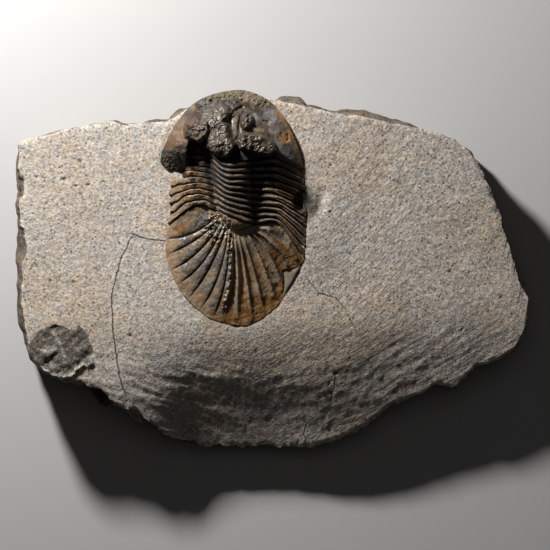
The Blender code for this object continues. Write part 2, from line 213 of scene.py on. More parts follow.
slab = {
    "faceLevel": 20.4,
    "swells": [(0.8, (-10, 19), (34, 44)), (0.8, (5, 17), (17, 22)), (0.6, (-8, -7), (28, 20))],
    "tailwardFall": 15.5, "middleFall": 1.35, "cornerFall": 1.4, "rightwardFall": 4.0,
    "dents": [(-0.3, (-12, -32.4), (9, 4.4), -12), (0.25, (-16, -37.4), (16, 4), -10)],
    "toolMarks": {"upper": (0.05, 44, 5, 0.9, 61), "outer": (0.05, -32, 5, 0.9, 62),
                  "lowLeft": (0.16, -14, 7, 1.1, 63), "lowMiddle": (0.08, 13, 7, 1.0, 64),
                  "lowRight": (0.12, 33, 8, 1.2, 65)},  # height, direction, length, width, seed
    "size": (137, 84),  # roughly, to tell how far in from the edge a point lies
    "halfSpan": (70, 48),  # half axes of the ellipse that the walls' roughness faces out from
    "bedThickness": 2.7, "ledges": 0.3, "blocks": 0.55,  # roughness of the broken walls
    "columns": 370, "rows": 218, "wallRings": 14, "crowdedAt": (0.42, 0.66), "crowding": 0.35,
    "topEdge": [
        (-68.4, 35), (-66.5, 35.6), (-64.9, 36.3), (-62.3, 36.8), (-59.6, 37.4), (-57, 38.2),
        (-54.3, 38.7), (-51.7, 39), (-49, 39.9), (-46.4, 40), (-43.7, 40.9), (-41.6, 40.4), (-40, 39.4),
        (-38.4, 40.1), (-35.8, 40), (-33.9, 40.4), (-31.5, 40.5), (-28.4, 40.8), (-26.5, 41.7),
        (-24.6, 43.1), (-23.1, 44.1), (-21.5, 44.5), (-19.9, 46), (-18, 46.8), (-14.6, 47.6),
        (-9.3, 48.4), (-5.3, 47.8), (-2.7, 46.8), (0, 46.1), (1.9, 45.8), (6.6, 44.8), (8.7, 44.5),
        (11.9, 44), (14.6, 43.1), (18.6, 42.5), (22.5, 42.1), (25.2, 41.3), (29.2, 40.5), (33.1, 39.8),
        (36.3, 39.2), (39.8, 38.6), (41.9, 38.2), (43.7, 37.6), (46.4, 36.3), (48, 35.8), (49, 34.5),
        (51.1, 33.4), (51.9, 32.6)],
    "topFoot": [
        (-68.9, 35.2), (-67.6, 35.9), (-64.9, 36.8), (-62.3, 37.2), (-59.6, 37.8), (-57, 38.6),
        (-54.3, 39.1), (-51.7, 39.4), (-49.8, 40), (-48.5, 40.7), (-46.4, 40.4), (-45.1, 40.9),
        (-43.7, 41.5), (-42.4, 41.5), (-41.1, 40.9), (-39.8, 40.7), (-38.4, 40.9), (-35.8, 40.7),
        (-33.9, 41.5), (-31.8, 42), (-28.4, 42), (-27.8, 42.8), (-26.5, 43.9), (-25.2, 44.5),
        (-23.3, 44.8), (-21.7, 44.9), (-20.7, 45.7), (-19.9, 46.4), (-18, 47), (-14.6, 47.7),
        (-9.3, 48.6), (-5.3, 48), (-3.2, 47), (0, 46.6), (1.3, 47.7), (2.4, 48.1), (4, 48), (6.6, 47.7),
        (7.7, 46.9), (8.5, 45.4), (10.1, 45.1), (11.9, 44.7), (14.6, 44), (16.4, 43.7), (17.5, 44.1),
        (19.1, 44.3), (23.9, 44.3), (25.2, 43.7), (27.3, 43.5), (29.2, 42.9), (31.3, 41.9), (33.1, 41.6),
        (35.8, 41.1), (38.4, 39.5), (40, 38.7), (41.9, 38.4), (43.7, 37.9), (46.4, 36.7), (48, 36.2),
        (49, 34.8), (51.1, 33.8), (52.5, 33)],
    "leftEdge": [
        (-65.5, -19.9), (-65.5, -18), (-65.7, -15.4), (-66.2, -13.2), (-66.5, -10.6), (-66.8, -9.3),
        (-67.4, -7.7), (-67, -6.1), (-67, -2.7), (-66.5, -1.3), (-67, 0.8), (-67, 2.4), (-66.5, 4),
        (-65.7, 5.3), (-65.5, 7.2), (-65.7, 8.5), (-66.1, 10.3), (-66.5, 11.9), (-67.4, 13.2),
        (-67.3, 15.1), (-67.6, 16.7), (-67.8, 18.6), (-67.6, 20.1), (-66.5, 20.9), (-66.2, 23.1),
        (-66.4, 25.4), (-67.3, 26.2), (-67.6, 27.6), (-68.1, 28.4), (-67.8, 29.9), (-67.8, 32.6),
        (-68.1, 34.2), (-68.4, 35)],
    "leftFoot": [
        (-66.5, -20.1), (-67.3, -18.6), (-67.6, -15.4), (-68.4, -13.2), (-68.8, -10.6), (-68.9, -8),
        (-69, -4.8), (-69.2, -1.6), (-69, 0.8), (-69.2, 3.4), (-68.9, 6.6), (-69, 9.3), (-68.9, 10.6),
        (-68.6, 11.9), (-68.6, 14), (-68.5, 15.6), (-69, 16.4), (-69.2, 18.6), (-68.9, 20.4),
        (-68.8, 22.5), (-69.2, 23.3), (-69.5, 25.2), (-69.6, 27.8), (-69.5, 29.7), (-69.2, 31.8),
        (-68.9, 33.1), (-68.9, 35.2)],
    "rightEdge": [
        (67.5, -8), (67.1, -5.8), (66.3, -4.5), (65.3, -2.7), (64.1, 0.8), (63.6, 3.4), (62.5, 6.6),
        (61.5, 9.8), (60.2, 13), (59.9, 15.9), (59.1, 18.3), (58, 20.4), (57.5, 22.5), (56.4, 24.4),
        (55.4, 27), (54.1, 29.4), (53, 31), (51.9, 32.6)],
    "rightFoot": [
        (68.3, -7.4), (66.9, -2.9), (65.9, 0.3), (64.9, 3.2), (63.6, 6.4), (62.3, 10.1), (61, 13),
        (60.4, 15.6), (59.6, 17.8), (58.3, 20.3), (58, 22.5), (57.8, 23.3), (56.7, 24.4), (55.7, 27.3),
        (54.3, 29.4), (53.3, 31), (52.5, 33)],
    "bottomEdge": [
        (-65.5, -19.9), (-64.7, -22), (-63.3, -23.6), (-61, -25.2), (-58.3, -26.5), (-55.4, -27.4),
        (-52.7, -28), (-50.6, -28.6), (-49.3, -29.7), (-47.4, -29.9), (-45.6, -30.6), (-44.5, -32.3),
        (-42.9, -33.9), (-41.1, -35), (-38.4, -35.5), (-36.6, -36), (-35.2, -37.9), (-33.1, -39.1),
        (-31.3, -40.5), (-29.7, -42.1), (-27.3, -43.5), (-25.2, -43.9), (-22.5, -44.3), (-20.1, -45.3),
        (-18.6, -45.8), (-15.9, -45.7), (-9.3, -45.9), (-4.8, -45.7), (-3.2, -45.3), (-1.6, -45.6),
        (0.3, -46.2), (2.7, -46.2), (4.5, -45.7), (6.6, -45.7), (8, -46), (8.9, -46.5), (9.8, -46.2),
        (11.4, -45.4), (15.1, -44.7), (17.2, -43.7), (19.3, -42.7), (21.5, -41.6), (23.6, -40.7),
        (25.7, -39.2), (27.8, -37.4), (29.9, -35.5), (32.1, -34.3), (34.2, -33.4), (36.3, -32.6),
        (38.4, -31.8), (40.5, -31), (42.4, -29.4), (44.8, -29.7), (46.9, -29.9), (48.5, -29.7),
        (50.9, -27.2), (53.3, -24.5), (55.4, -24), (58.8, -22.8), (61.5, -21.6), (63.6, -19.7),
        (65.3, -17), (66.5, -14.6), (67.1, -11.4), (67.5, -8)],
    "bottomFoot": [
        (-66.5, -20.1), (-65.7, -22.5), (-63.6, -24.2), (-62, -26.2), (-58.3, -27.8), (-56.4, -29.3),
        (-54.3, -29.2), (-51.7, -29.7), (-50.1, -31), (-48.2, -34.2), (-47.2, -36.2), (-45.3, -36.2),
        (-44.5, -35.2), (-41.6, -35.5), (-39, -37.4), (-38.2, -38.4), (-35, -40.3), (-33.1, -39.8),
        (-31.3, -41.3), (-29.7, -42.7), (-27.3, -44), (-25.2, -44.3), (-23.1, -44.5), (-20.9, -45.1),
        (-18.8, -46), (-15.9, -45.9), (-12.5, -45.9), (-8.2, -46.1), (-4.5, -45.8), (-3.2, -45.4),
        (-1.9, -45.7), (0.3, -46.4), (2.7, -46.3), (4.5, -45.8), (6.6, -45.8), (8, -46.2), (8.7, -46.7),
        (9.8, -46.4), (10.9, -45.7), (13, -45.4), (15.1, -45.2), (17.2, -44.3), (19.3, -43.2),
        (21.5, -42.1), (23.6, -41.2), (25.7, -40), (27.8, -37.9), (29.9, -36), (32.1, -34.7),
        (34.2, -33.9), (36.3, -33.1), (38.4, -32.3), (40.5, -31.5), (42.4, -29.7), (44.8, -30.3),
        (46.9, -30.6), (48.5, -30.5), (51.1, -27.4), (53.3, -25), (55.4, -24.4), (58.8, -23.2),
        (61.7, -22), (64.1, -20), (65.7, -17.2), (67.3, -14.6), (67.9, -11.4), (68.3, -7.4)],
    "chip": [(-72, -21), (-66.3, -21.2), (-64.7, -17.5), (-62.5, -14.8), (-60.4, -13.8), (-58.2, -13.1),
             (-56.2, -13.4), (-53.8, -15), (-51.7, -13.9), (-49.6, -16.3), (-48.4, -19.2), (-48.3, -23.3),
             (-49.6, -24.5), (-50.9, -24), (-53.5, -26.6), (-56, -27.2), (-59.5, -26.6), (-63.4, -24.4),
             (-70, -26)],
    "chipDepth": 0.12, "mouldRise": 0.4,
    "pits": [(-55.9, 25.4, 0.5), (-51.7, 30.2, 0.45), (-63.3, 26, 0.35), (-52.7, 23.6, 0.35),
             (-49.6, 23.9, 0.35), (16.1, -26.2, 0.5), (14.3, -28.8, 0.35), (14.9, -31.5, 0.4),
             (-38.3, -16, 0.5), (14.8, 29, 0.3), (49.6, -14.7, 0.35), (46.4, 1, 0.4),
             (14.6, 16.7, 0.4), (-40.7, 4.5, 0.3), (60.2, -6, 0.3)],
    "trough": [(12.6, 22), (12.5, 20), (11.9, 18), (10.9, 16.4)],
    "sideDip": [(8.5, 34), (10.6, 27), (11.2, 20), (9.5, 15)],
    "recess": [(-48.6, -30), (-45.4, -32.5)],
}

tail = {
    "ribs": 15,
    "margin": [(-28.9, 9.8), (-28.9, 5.3), (-27.8, 1.3), (-26, -2.7), (-23.1, -6.6), (-19.9, -9.5),
               (-16.2, -11.9), (-8.5, -13.5), (-5, -12.4), (-2.1, -10.6), (0.8, -8), (2.9, -5.3),
               (4.8, -2.4), (6.4, 0.5)],
    "furrowEnds": [0, 1, 2, 3, 4, 5, 6, 7, 7.4, 8.1, 9.4, 10.4, 11.6, 13.0, 14.3, 15],  # margin places
    "furrowBends": [(-21.8, 14.8), (-21.1, 9.3), (-20.2, 8.2), (-19.3, 4.8), (-16.8, 3.3),
                    (-14.4, 4.6), (-13.1, 0.5), (-12.3, -2.3), (-9.8, -1.3), (-8.1, 0.8), (-7.2, 1.2),
                    (-4.1, 2.5), (-1.7, 5.6), (0.3, 7.2), (1.9, 10.2), (1.1, 8.6)],  # one for each furrow
    "axisTip": [(-13.9, 14.4), (-10.8, 11.5), (-7, 12.4)],
    "brokenAt": [11.5, 12.0, 12.5, 13.0, 13.5, 14.0, 14.5, 15.0],  # margin places of the break
    "shareLeft": [1.0, 0.95, 0.86, 0.75, 0.8, 0.9, 0.97, 1.0],
    "axisShare": 0.14, "ribHeight": 1.0, "edgeRelief": 0.12,
    "columnsPerRib": 28, "rows": 150,
    "middleRow": [(-12.1, 11.1), (-11.9, 6.8), (-12.1, 2.8), (-11.7, -0.5), (-12.7, -6.1), (-13.4, -8.7)],
    "nearAxis": ((-15.8, 12.6), (5.4, 5.2)), "behindLast": ((1.0, 10.6), (3.6, 1.4), -42),
    "rustPatch": ((-25, 12.1), (3.6, 1.9), 22),
}

head = {
    "front": [(-30.2, 31.8), (-29.4, 33.9), (-27.8, 37.4), (-25.7, 40.8), (-23.1, 44), (-19.9, 46.4),
              (-15.9, 48), (-11.9, 48.8), (-8.7, 49), (-5.6, 48.2), (-2.7, 46.9), (0, 44.8),
              (2.4, 41.6), (4.5, 37.6), (6.4, 32.9), (7.7, 27.8)],
    "cheekRear": [(-30.4, 29.9), (-28.9, 28.2), (-26.5, 27.4), (-23.8, 28.2), (-23.2, 33.2)],
    "middle": (-11.5, 30.0), "reach": (19.2, 19.0), "rise": 8.2, "edgeRelief": (0.4, 0.1),
    "columns": 400, "rows": 210,
    "middleLobe": [(-19.1, 40.8), (-18.6, 43.7), (-16.4, 46.1), (-12.7, 45.8), (-11.1, 44.5),
                   (-11.3, 42.7), (-11.7, 40), (-10.9, 36.6), (-9.3, 34.5), (-9.3, 31.8), (-12.2, 30.5),
                   (-14.8, 30.2), (-17.1, 31.3), (-18.7, 33.1), (-18.9, 35.8), (-18, 37.6)],
    "leftEye": [(-24.1, 38.7), (-23.3, 40.8), (-21.2, 41.9), (-18.6, 42.1), (-17.2, 40.5), (-17.2, 37.4),
                (-18.6, 35), (-20.1, 34.6), (-21.9, 35.2), (-23.7, 36.3)],
    "rightEye": [(-10.1, 35.2), (-9, 37.4), (-6.9, 37.4), (-5, 37.1), (-3.4, 37), (-1.6, 36.4), (0, 35),
                 (0.1, 33.1), (-1.1, 31.4), (-3.4, 31.4), (-5.6, 31.8), (-7.4, 32.3), (-9.3, 33.1)],
    "knob": [(-9, 41.9), (-7.7, 43.2), (-6.1, 42.9), (-5.3, 41.6), (-5.8, 39.8), (-7.2, 38.4),
             (-8.6, 38.3), (-9.1, 40)],
    "lobeHeights": (1.6, 2.3, 2.8, 1.1),  # middle, left eye, right eye, knob
    "scores": [(-0.3, 0.3, [(-11.9, 41.1), (-11.4, 42.4), (-10.1, 43.7), (-8.5, 44.5)]),
               (0.8, 0.42, [(-17.6, 38.1), (-19.9, 35.8)]),
               (-0.5, 0.35, [(-3, 40.6), (-1.9, 40.3)])],  # height, half width, path
    "finger": [(-9.3, 43.5), (-10.1, 41.9), (-10.5, 40), (-10.3, 38.2), (-9.8, 36.8)],
    "groove": [(-8.1, 42.9), (-8.9, 41.6), (-9.4, 40), (-9.6, 38.4), (-9.5, 36.8)],
    "arch": [(-8.7, 44), (-6.6, 44.1), (-4.8, 42.9), (-3.4, 41.5), (-2.1, 40.4)],
    "tanStreak": [(-6.0, 37.9), (-4.6, 38.3), (-3.2, 38.1)],
    "knobs": [(-8.3, 42.3), (-7.2, 42.5), (-6.3, 41.7), (-8.5, 41), (-7.3, 41), (-8.4, 39.6),
              (-7.3, 39.4), (-6.4, 40.6), (-7.9, 38.7), (-15.1, 34.2), (-14, 34.6), (-12.7, 38.7),
              (-13, 41.7), (-13.2, 37.9), (-0.8, 34.8), (-6.3, 33.9), (-4.9, 35.3), (-8.2, 35.6)],
    "ledgeKnobs": [(-23.5, 37.5), (-22.6, 37.1), (-21.7, 37.1), (-20.4, 37), (-20.2, 38.2), (-22, 38.9),
                   (-19, 38.6), (-18.4, 39.9), (-21.3, 40.6)],
    "ochreLoop": [(1.6, 37.2), (2.1, 36.2), (2.9, 35.4), (3.6, 35.8), (3.3, 37)],
    "pit": ((-19.9, 33.5), (3.7, 3.8)), "notch": ((-10.2, 32), (1.4, 2.6)),  # middle, reach
    "ramp": ((-18.2, 40.3), (4.6, 4.6)), "swirl": ((-5.0, 41.2), (2.0, 2.2)),
    "bowl": ((-1.9, 43.3), (3.6, 3.4), -30), "hole": ((-5.6, 39.4), (0.8, 0.8)),
    "spots": {"slate": [(0.9, (-22.8, 42.2), (2.4, 2.2)), (0.8, (-17.2, 45.6), (3, 2)),
                        (1.2, (-12.0, 33.6), (1.4, 1.4))],
              "rust": [(1.2, (-20.1, 42.3), (1.3, 1.1)), (1.1, (6.5, 28.8), (1.8, 1.3)),
                       (1.0, (2.6, 29.6), (2.6, 1))],
              "dust": [(0.9, (-22.4, 27.6), (1.6, 1.0))],
              "darkAndShade": [(0.35, (-22.8, 42.2), (2.6, 2.4))]},  # added colour: strength, middle, reach
}


def thoraxLine(u, band):  # across the thorax, on the front line of this band counted from the head
    u, band = np.broadcast_arrays(np.asarray(u, float), np.asarray(band, float))
    shape = u.shape
    u, share = u.ravel(), band.ravel() / animal["segments"]
    first, last = np.array(animal["headSideLine"]), np.array(animal["tailSideLine"])
    share = share + np.array(animal["crowdedTo"])[:, None] * 4 * share * (1 - share)
    lines = first[:, None] + (last - first)[:, None] * share[..., None]
    return curveThrough(lines, across, u).reshape(shape + (2,))


def thoraxRelief(u, share):  # share runs from head to tail
    away, lobe, bend = np.abs(u - 0.5), across[4] - 0.5, across[5] - 0.5
    toRight = ease(u, 0.4, 0.6)
    tip, shoulder = mixed(*animal["tipRelief"], toRight), mixed(*animal["bendRelief"], toRight)
    shoulder = shoulder - 0.9 * toRight * ease(share, 0.45, 0.85)
    furrow = animal["furrowRelief"] - 0.9 * ease(u, 0.5, 0.62) * ease(share, 0.75, 0.45)
    crest = mixed(*animal["crestRelief"], ease(share, 0.1, 1.0))
    leaning = (u - 0.5) / lobe
    leaning = leaning - animal["crestLean"] * np.maximum(0.0, 1 - leaning ** 2)
    middle = mixed(furrow, crest, np.sqrt(np.maximum(0.0, 1 - leaning ** 2)))
    side = mixed(furrow, shoulder, ease(away, lobe, bend))
    out = np.clip((away - bend) / (0.5 - bend), 0, 1)
    flank = mixed(shoulder, tip, out ** (1.7 - 0.4 * toRight))
    return np.where(away < lobe, middle, np.where(away < bend, side, flank))


def tailFront(u):
    return thoraxLine(u, animal["segments"] + animal["gap"])


def tailAxis(u):
    outline = np.concatenate([tailFront(across[2])[None], tail["axisTip"], tailFront(across[4])[None]])
    return curveThrough(outline, placesAlong(outline), u)


def wholeTailEdge(place):
    margin = np.concatenate([tailFront(0.0)[None], tail["margin"], tailFront(1.0)[None]])
    return curveThrough(margin, np.arange(tail["ribs"] + 1.0), place)


def tailEdge(place):
    left = np.interp(place, tail["brokenAt"], tail["shareLeft"])
    inner = tailAxis(place / tail["ribs"])
    return mixed(inner, wholeTailEdge(place), left[..., None]), left


def animalOutline():  # the whole edge in plan, head front first
    front = curveThrough(head["front"], placesAlong(head["front"]), np.linspace(0, 1, 70))
    bands = np.arange(1.0, animal["segments"])
    rightTips = thoraxLine(1.0, bands)
    rightTips[:, 0] += animal["tipBulge"] * np.sin(math.pi * bands / animal["segments"])
    margin = tailEdge(np.linspace(tail["ribs"], 0, 91))[0]
    leftBands = np.arange(float(animal["segments"]), animal["hiddenTips"] - 1, -1)
    leftTips = np.concatenate([thoraxLine(0.0, leftBands),
                               thoraxLine(0.12, animal["hiddenTips"])[None]])
    cheek = head["cheekRear"][1::-1]
    return [tuple(p) for p in np.concatenate([front, rightTips, margin, leftTips, cheek])]


def bedding(x, y):  # level that the worked stone and the animal's edge share
    level = slab["faceLevel"] + spots(x, y, slab["swells"])
    sideways = (1 - 0.62 * ease(x, -16, -46)) * (1 - 0.18 * ease(x, 5, 45))
    fall = slab["tailwardFall"] * ease(y, -11, -62) * sideways
    fall += slab["middleFall"] * ease(y, -25, -40) * ease(x, -36, -20) * ease(x, 22, -6)
    fall += slab["cornerFall"] * ease(y, -5, -27) * ease(x, 10, 36)
    return level - fall - slab["rightwardFall"] * ease(x, 5, 75)


print("drawing ready")


# Blocks: a dense grid laid on a surface, its edge carried down in rings to a flat underside

def isTurned(points):  # True where rows and columns run clockwise, seen from above
    return np.cross(points[0, -1, :2] - points[0, 0, :2], points[-1, 0, :2] - points[0, 0, :2]) < 0


def roundEdge(grid):  # a grid's edge values, in order round it
    return np.concatenate([grid[0, :-1], grid[:-1, -1], grid[-1, :0:-1], grid[:0:-1, 0]])


def keepValues(mesh, name, values):  # one number for each point, read by the materials
    held = mesh.attributes.new(name, "FLOAT", "POINT")
    held.data.foreach_set("value", np.concatenate(values).astype(np.float32))


def blockFromGrid(name, points, rings, fields):
    if isTurned(points):
        points, fields = points[::-1], {k: v[::-1] for k, v in fields.items()}
    rows, columns = points.shape[:2]
    index = np.arange(rows * columns).reshape(rows, columns)
    loop = roundEdge(index)
    flat = points.reshape(-1, 3)
    quads = np.stack([index[:-1, :-1], index[:-1, 1:], index[1:, 1:], index[1:, :-1]], -1).reshape(-1, 4)
    stacks, faces, upper = [flat], [quads], loop
    for number, ring in enumerate(rings(flat[loop])):
        lower = len(flat) + number * len(loop) + np.arange(len(loop))
        faces.append(np.stack([np.roll(upper, -1), upper, lower, np.roll(lower, -1)], -1))
        stacks.append(ring)
        upper = lower
    corners = (np.concatenate(stacks) - slabCentre) * mm
    corners = np.clip(corners, np.array(cadBox[0]), np.array(cadBox[1]))
    mesh = bpy.data.meshes.new(name)
    mesh.from_pydata(corners.tolist(), [], np.concatenate(faces).tolist() + [upper[::-1].tolist()])
    ringCount = len(stacks) - 1
    for label, values in fields.items():
        keepValues(mesh, label, [values.ravel()] + [values.ravel()[loop]] * ringCount)
    keepValues(mesh, "wall", [np.zeros(len(flat)), np.ones(len(loop) * ringCount)])
    mesh.shade_smooth()
    piece = bpy.data.objects.new(name, mesh)
    bpy.context.scene.collection.objects.link(piece)
    return piece


def plateRings(rim):  # a plate's edge drops in two steps to its underside
    for share in (0.35, 1.0):
        low = rim.copy()
        low[:, 2] += (animal["underside"] - rim[:, 2]) * share
        yield low


def standsFor(piece, node, material):
    piece.data.materials.append(material)
    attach(piece, "root")
    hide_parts(node)


def makePlate(name, node, x, y, relief, fields):  # the fields are the shares of each shell colour
    fields = {label: np.clip(share, 0, 1) for label, share in fields.items()}
    piece = blockFromGrid(name, np.stack([x, y, bedding(x, y) + relief], -1), plateRings, fields)
    standsFor(piece, node, shellLook)


# Materials

class Wire:  # one socket of a material, so that masks can be written as sums
    def __init__(self, tree, socket):
        self.tree, self.socket = tree, socket

    def node(self, kind, settings=None, sockets=None, out=0):
        made = self.tree.nodes.new(kind)
        for name, value in (settings or {}).items():
            if name == "curve":
                curve = made.mapping.curves[0]
                for place, height in value[1:-1]:
                    curve.points.new(place, height)
                for point, (place, height) in zip(curve.points, value):
                    point.location = (place, height)
                    point.handle_type = "VECTOR"
                made.mapping.update()
            else:
                setattr(made, name, value)
        for name, value in (sockets or {}).items():
            if isinstance(value, Wire):
                self.tree.links.new(value.socket, made.inputs[name])
            else:
                made.inputs[name].default_value = value
        return Wire(self.tree, made.outputs[out])

    def maths(self, operation, *values):
        return self.node("ShaderNodeMath", {"operation": operation}, dict(enumerate((self,) + values)))

    def __add__(self, other):
        return self.maths("ADD", other)

    def __sub__(self, other):
        return self.maths("SUBTRACT", other)

    def __rsub__(self, other):
        return self.node("ShaderNodeMath", {"operation": "SUBTRACT"}, {0: other, 1: self})

    def __mul__(self, other):
        return self.maths("MULTIPLY", other)

    __radd__, __rmul__ = __add__, __mul__

    def field(self, name):  # a value kept on the mesh's points
        return self.node("ShaderNodeAttribute", {"attribute_name": name}, out=2)

    def spot(self):  # the surface point in drawn millimetres
        place = self.node("ShaderNodeTexCoord", out=3)
        return self.node("ShaderNodeVectorMath", {"operation": "MULTIPLY_ADD"},
                         {0: place, 1: (1 / mm,) * 3, 2: slabMiddle + (0,)})

    def tilted(self):  # keeps the lattice of the noises off the flat face
        return self.node("ShaderNodeMapping", {"vector_type": "POINT"},
                         {"Vector": self, "Rotation": (0.41, 0.33, 0.52)})

    def stretched(self, scale, turn=0.0):  # self is a point
        return self.node("ShaderNodeMapping", {"vector_type": "TEXTURE"},
                         {"Vector": self, "Rotation": (0, 0, math.radians(turn)), "Scale": scale})

    def noise(self, size, detail=2.0, rough=0.5):  # self is a point
        return self.node("ShaderNodeTexNoise", None,
                         {"Vector": self, "Scale": 1 / size, "Detail": detail, "Roughness": rough})

    def cells(self, size, out=0):
        return self.node("ShaderNodeTexVoronoi", None, {"Vector": self, "Scale": 1 / size}, out)

    def rise(self, low, high):  # 0 below low, 1 above high
        return self.node("ShaderNodeMapRange", {"interpolation_type": "SMOOTHSTEP"},
                         {0: self, 1: low, 2: high})

    def awayFromPoint(self, place):
        return self.node("ShaderNodeVectorMath", {"operation": "DISTANCE"}, {0: self, 1: place}, 1)

    def part(self, axis):
        return self.node("ShaderNodeSeparateXYZ", None, {0: self}, "XYZ".index(axis))

    def channel(self, number):  # self is a colour
        return self.node("ShaderNodeSeparateColor", None, {0: self}, number)

    def over(self, colour, mask):  # this colour laid on self where mask is 1
        colour = colour if isinstance(colour, Wire) else paint(colour)
        return self.node("ShaderNodeMix", {"data_type": "RGBA"}, {0: mask, 6: self, 7: colour}, 2)

    def laid(self, look, masks):  # the look's named colours laid on self in turn
        colour = self
        for name, mask in masks.items():
            colour = colour.over(look[name], mask)
        return colour

    def times(self, shade):  # a colour made darker or lighter by a number
        return self.node("ShaderNodeVectorMath", {"operation": "SCALE"}, {0: self, "Scale": shade})

    def plain(self, rgb):  # one colour to start from
        made = self.node("ShaderNodeRGB")
        made.socket.default_value = paint(rgb)
        return made

    def plug(self, shader, name):
        self.tree.links.new(self.socket, shader.inputs[name])

    def raised(self, shader):  # self is a height in millimetres
        bump = self.node("ShaderNodeBump", None, {"Height": self, "Strength": 1.0, "Distance": mm})
        bump.plug(shader, "Normal")


def startMaterial(name):
    material = bpy.data.materials.new(name)
    material.use_nodes = True
    tree = material.node_tree
    shader = tree.nodes["Principled BSDF"]
    return material, Wire(tree, shader.outputs[0]), shader


def paint(rgb):
    return (*rgb, 1.0)


limestone = {
    "face": (0.475, 0.425, 0.365), "warm": (0.48, 0.375, 0.275), "cool": (0.35, 0.345, 0.34),
    "speck": (0.07, 0.068, 0.068), "paleGrain": (0.68, 0.645, 0.59),
    "broken": (0.080, 0.065, 0.048), "brokenPale": (0.16, 0.135, 0.105),
    "brokenDark": (0.034, 0.027, 0.020),
    "crust": (0.17, 0.130, 0.092), "crustDark": (0.07, 0.054, 0.040),
    "crustFades": (13, 21),  # heights where patchy crust gives way to the marked stretches
    "chip": (0.115, 0.098, 0.078), "chipPale": (0.23, 0.20, 0.16), "chipDark": (0.032, 0.026, 0.020),
    "veinAndHighlight": (0.50, 0.47, 0.43),
    "mould": (0.24, 0.19, 0.14), "stain": (0.26, 0.175, 0.10), "rustDot": (0.20, 0.09, 0.03),
    # hollow is the painted shade colour put in the pits
    "crackColour": (0.045, 0.038, 0.034), "hollow": (0.12, 0.11, 0.10),
    "rustDots": [(-53.5, -1.6, 20.4), (-59.6, -1.3, 20.4)],
    "veins": [[(-58.8, -15.1), (-57, -18), (-55.7, -21.5)], [(-60, -21.8), (-58.8, -24.4)],
              [(-63, -19.5), (-60, -20.3), (-56.8, -19.2)]],
    "grainSize": 0.5, "grainContrast": 0.62, "grainBump": 0.19, "strokeBump": 0.14, "wallBump": 0.9,
    "strokes": {"upStrokes": (3.2, 0.3, 44), "downStrokes": (3.2, 0.3, -32),
                "lowStrokes": (4.5, 0.4, 30)},  # length, width and direction
}

# Cracks, each followed along one axis: first that axis, then the other for every point
cracks = [
    {"along": "Y", "points": [(-32.3, -39.5), (-27.3, -41.1), (-15.6, -42.9), (-5.3, -43.2), (4.2, -40.8),
                              (10.6, -37.6)]},
    {"along": "X", "points": [(-38.4, 10.9), (-34.2, 9.5), (-28.9, 8.9)]},
    {"along": "X", "points": [(8.5, -1.1), (11.7, -4.8), (16.2, -6.1), (18.6, -9), (21, -14)]},
    {"along": "Y", "points": [(-48, 9), (-42.4, 7.7), (-39.7, 8.5), (-34.2, 14.8), (-28.6, 15.9),
                              (-25.7, 16.2)]},
]


def crackLines(point):  # 1 along each crack
    marks = None
    wander = point.noise(1.6, 3.0, 0.6) - 0.5
    for crack in cracks:
        start, end = crack["points"][0][0], crack["points"][-1][0]
        low = min(p[1] for p in crack["points"]) - 1
        span = max(p[1] for p in crack["points"]) + 1 - low
        shape = [((a - start) / (end - start), (b - low) / span) for a, b in crack["points"]]
        run, beside = point.part(crack["along"]), point.part("X" if crack["along"] == "Y" else "Y")
        place = (run - start) * (1 / (end - start))
        curve = point.node("ShaderNodeFloatCurve", {"curve": shape}, {"Value": place})
        away = (beside + wander - (curve * span + low)).maths("ABSOLUTE")
        inside = place.rise(-0.01, 0.02) * (1 - place.rise(0.98, 1.01))
        mark = (1 - away.rise(0.06, 0.26)) * inside
        marks = mark if marks is None else marks.maths("MAXIMUM", mark)
    return marks


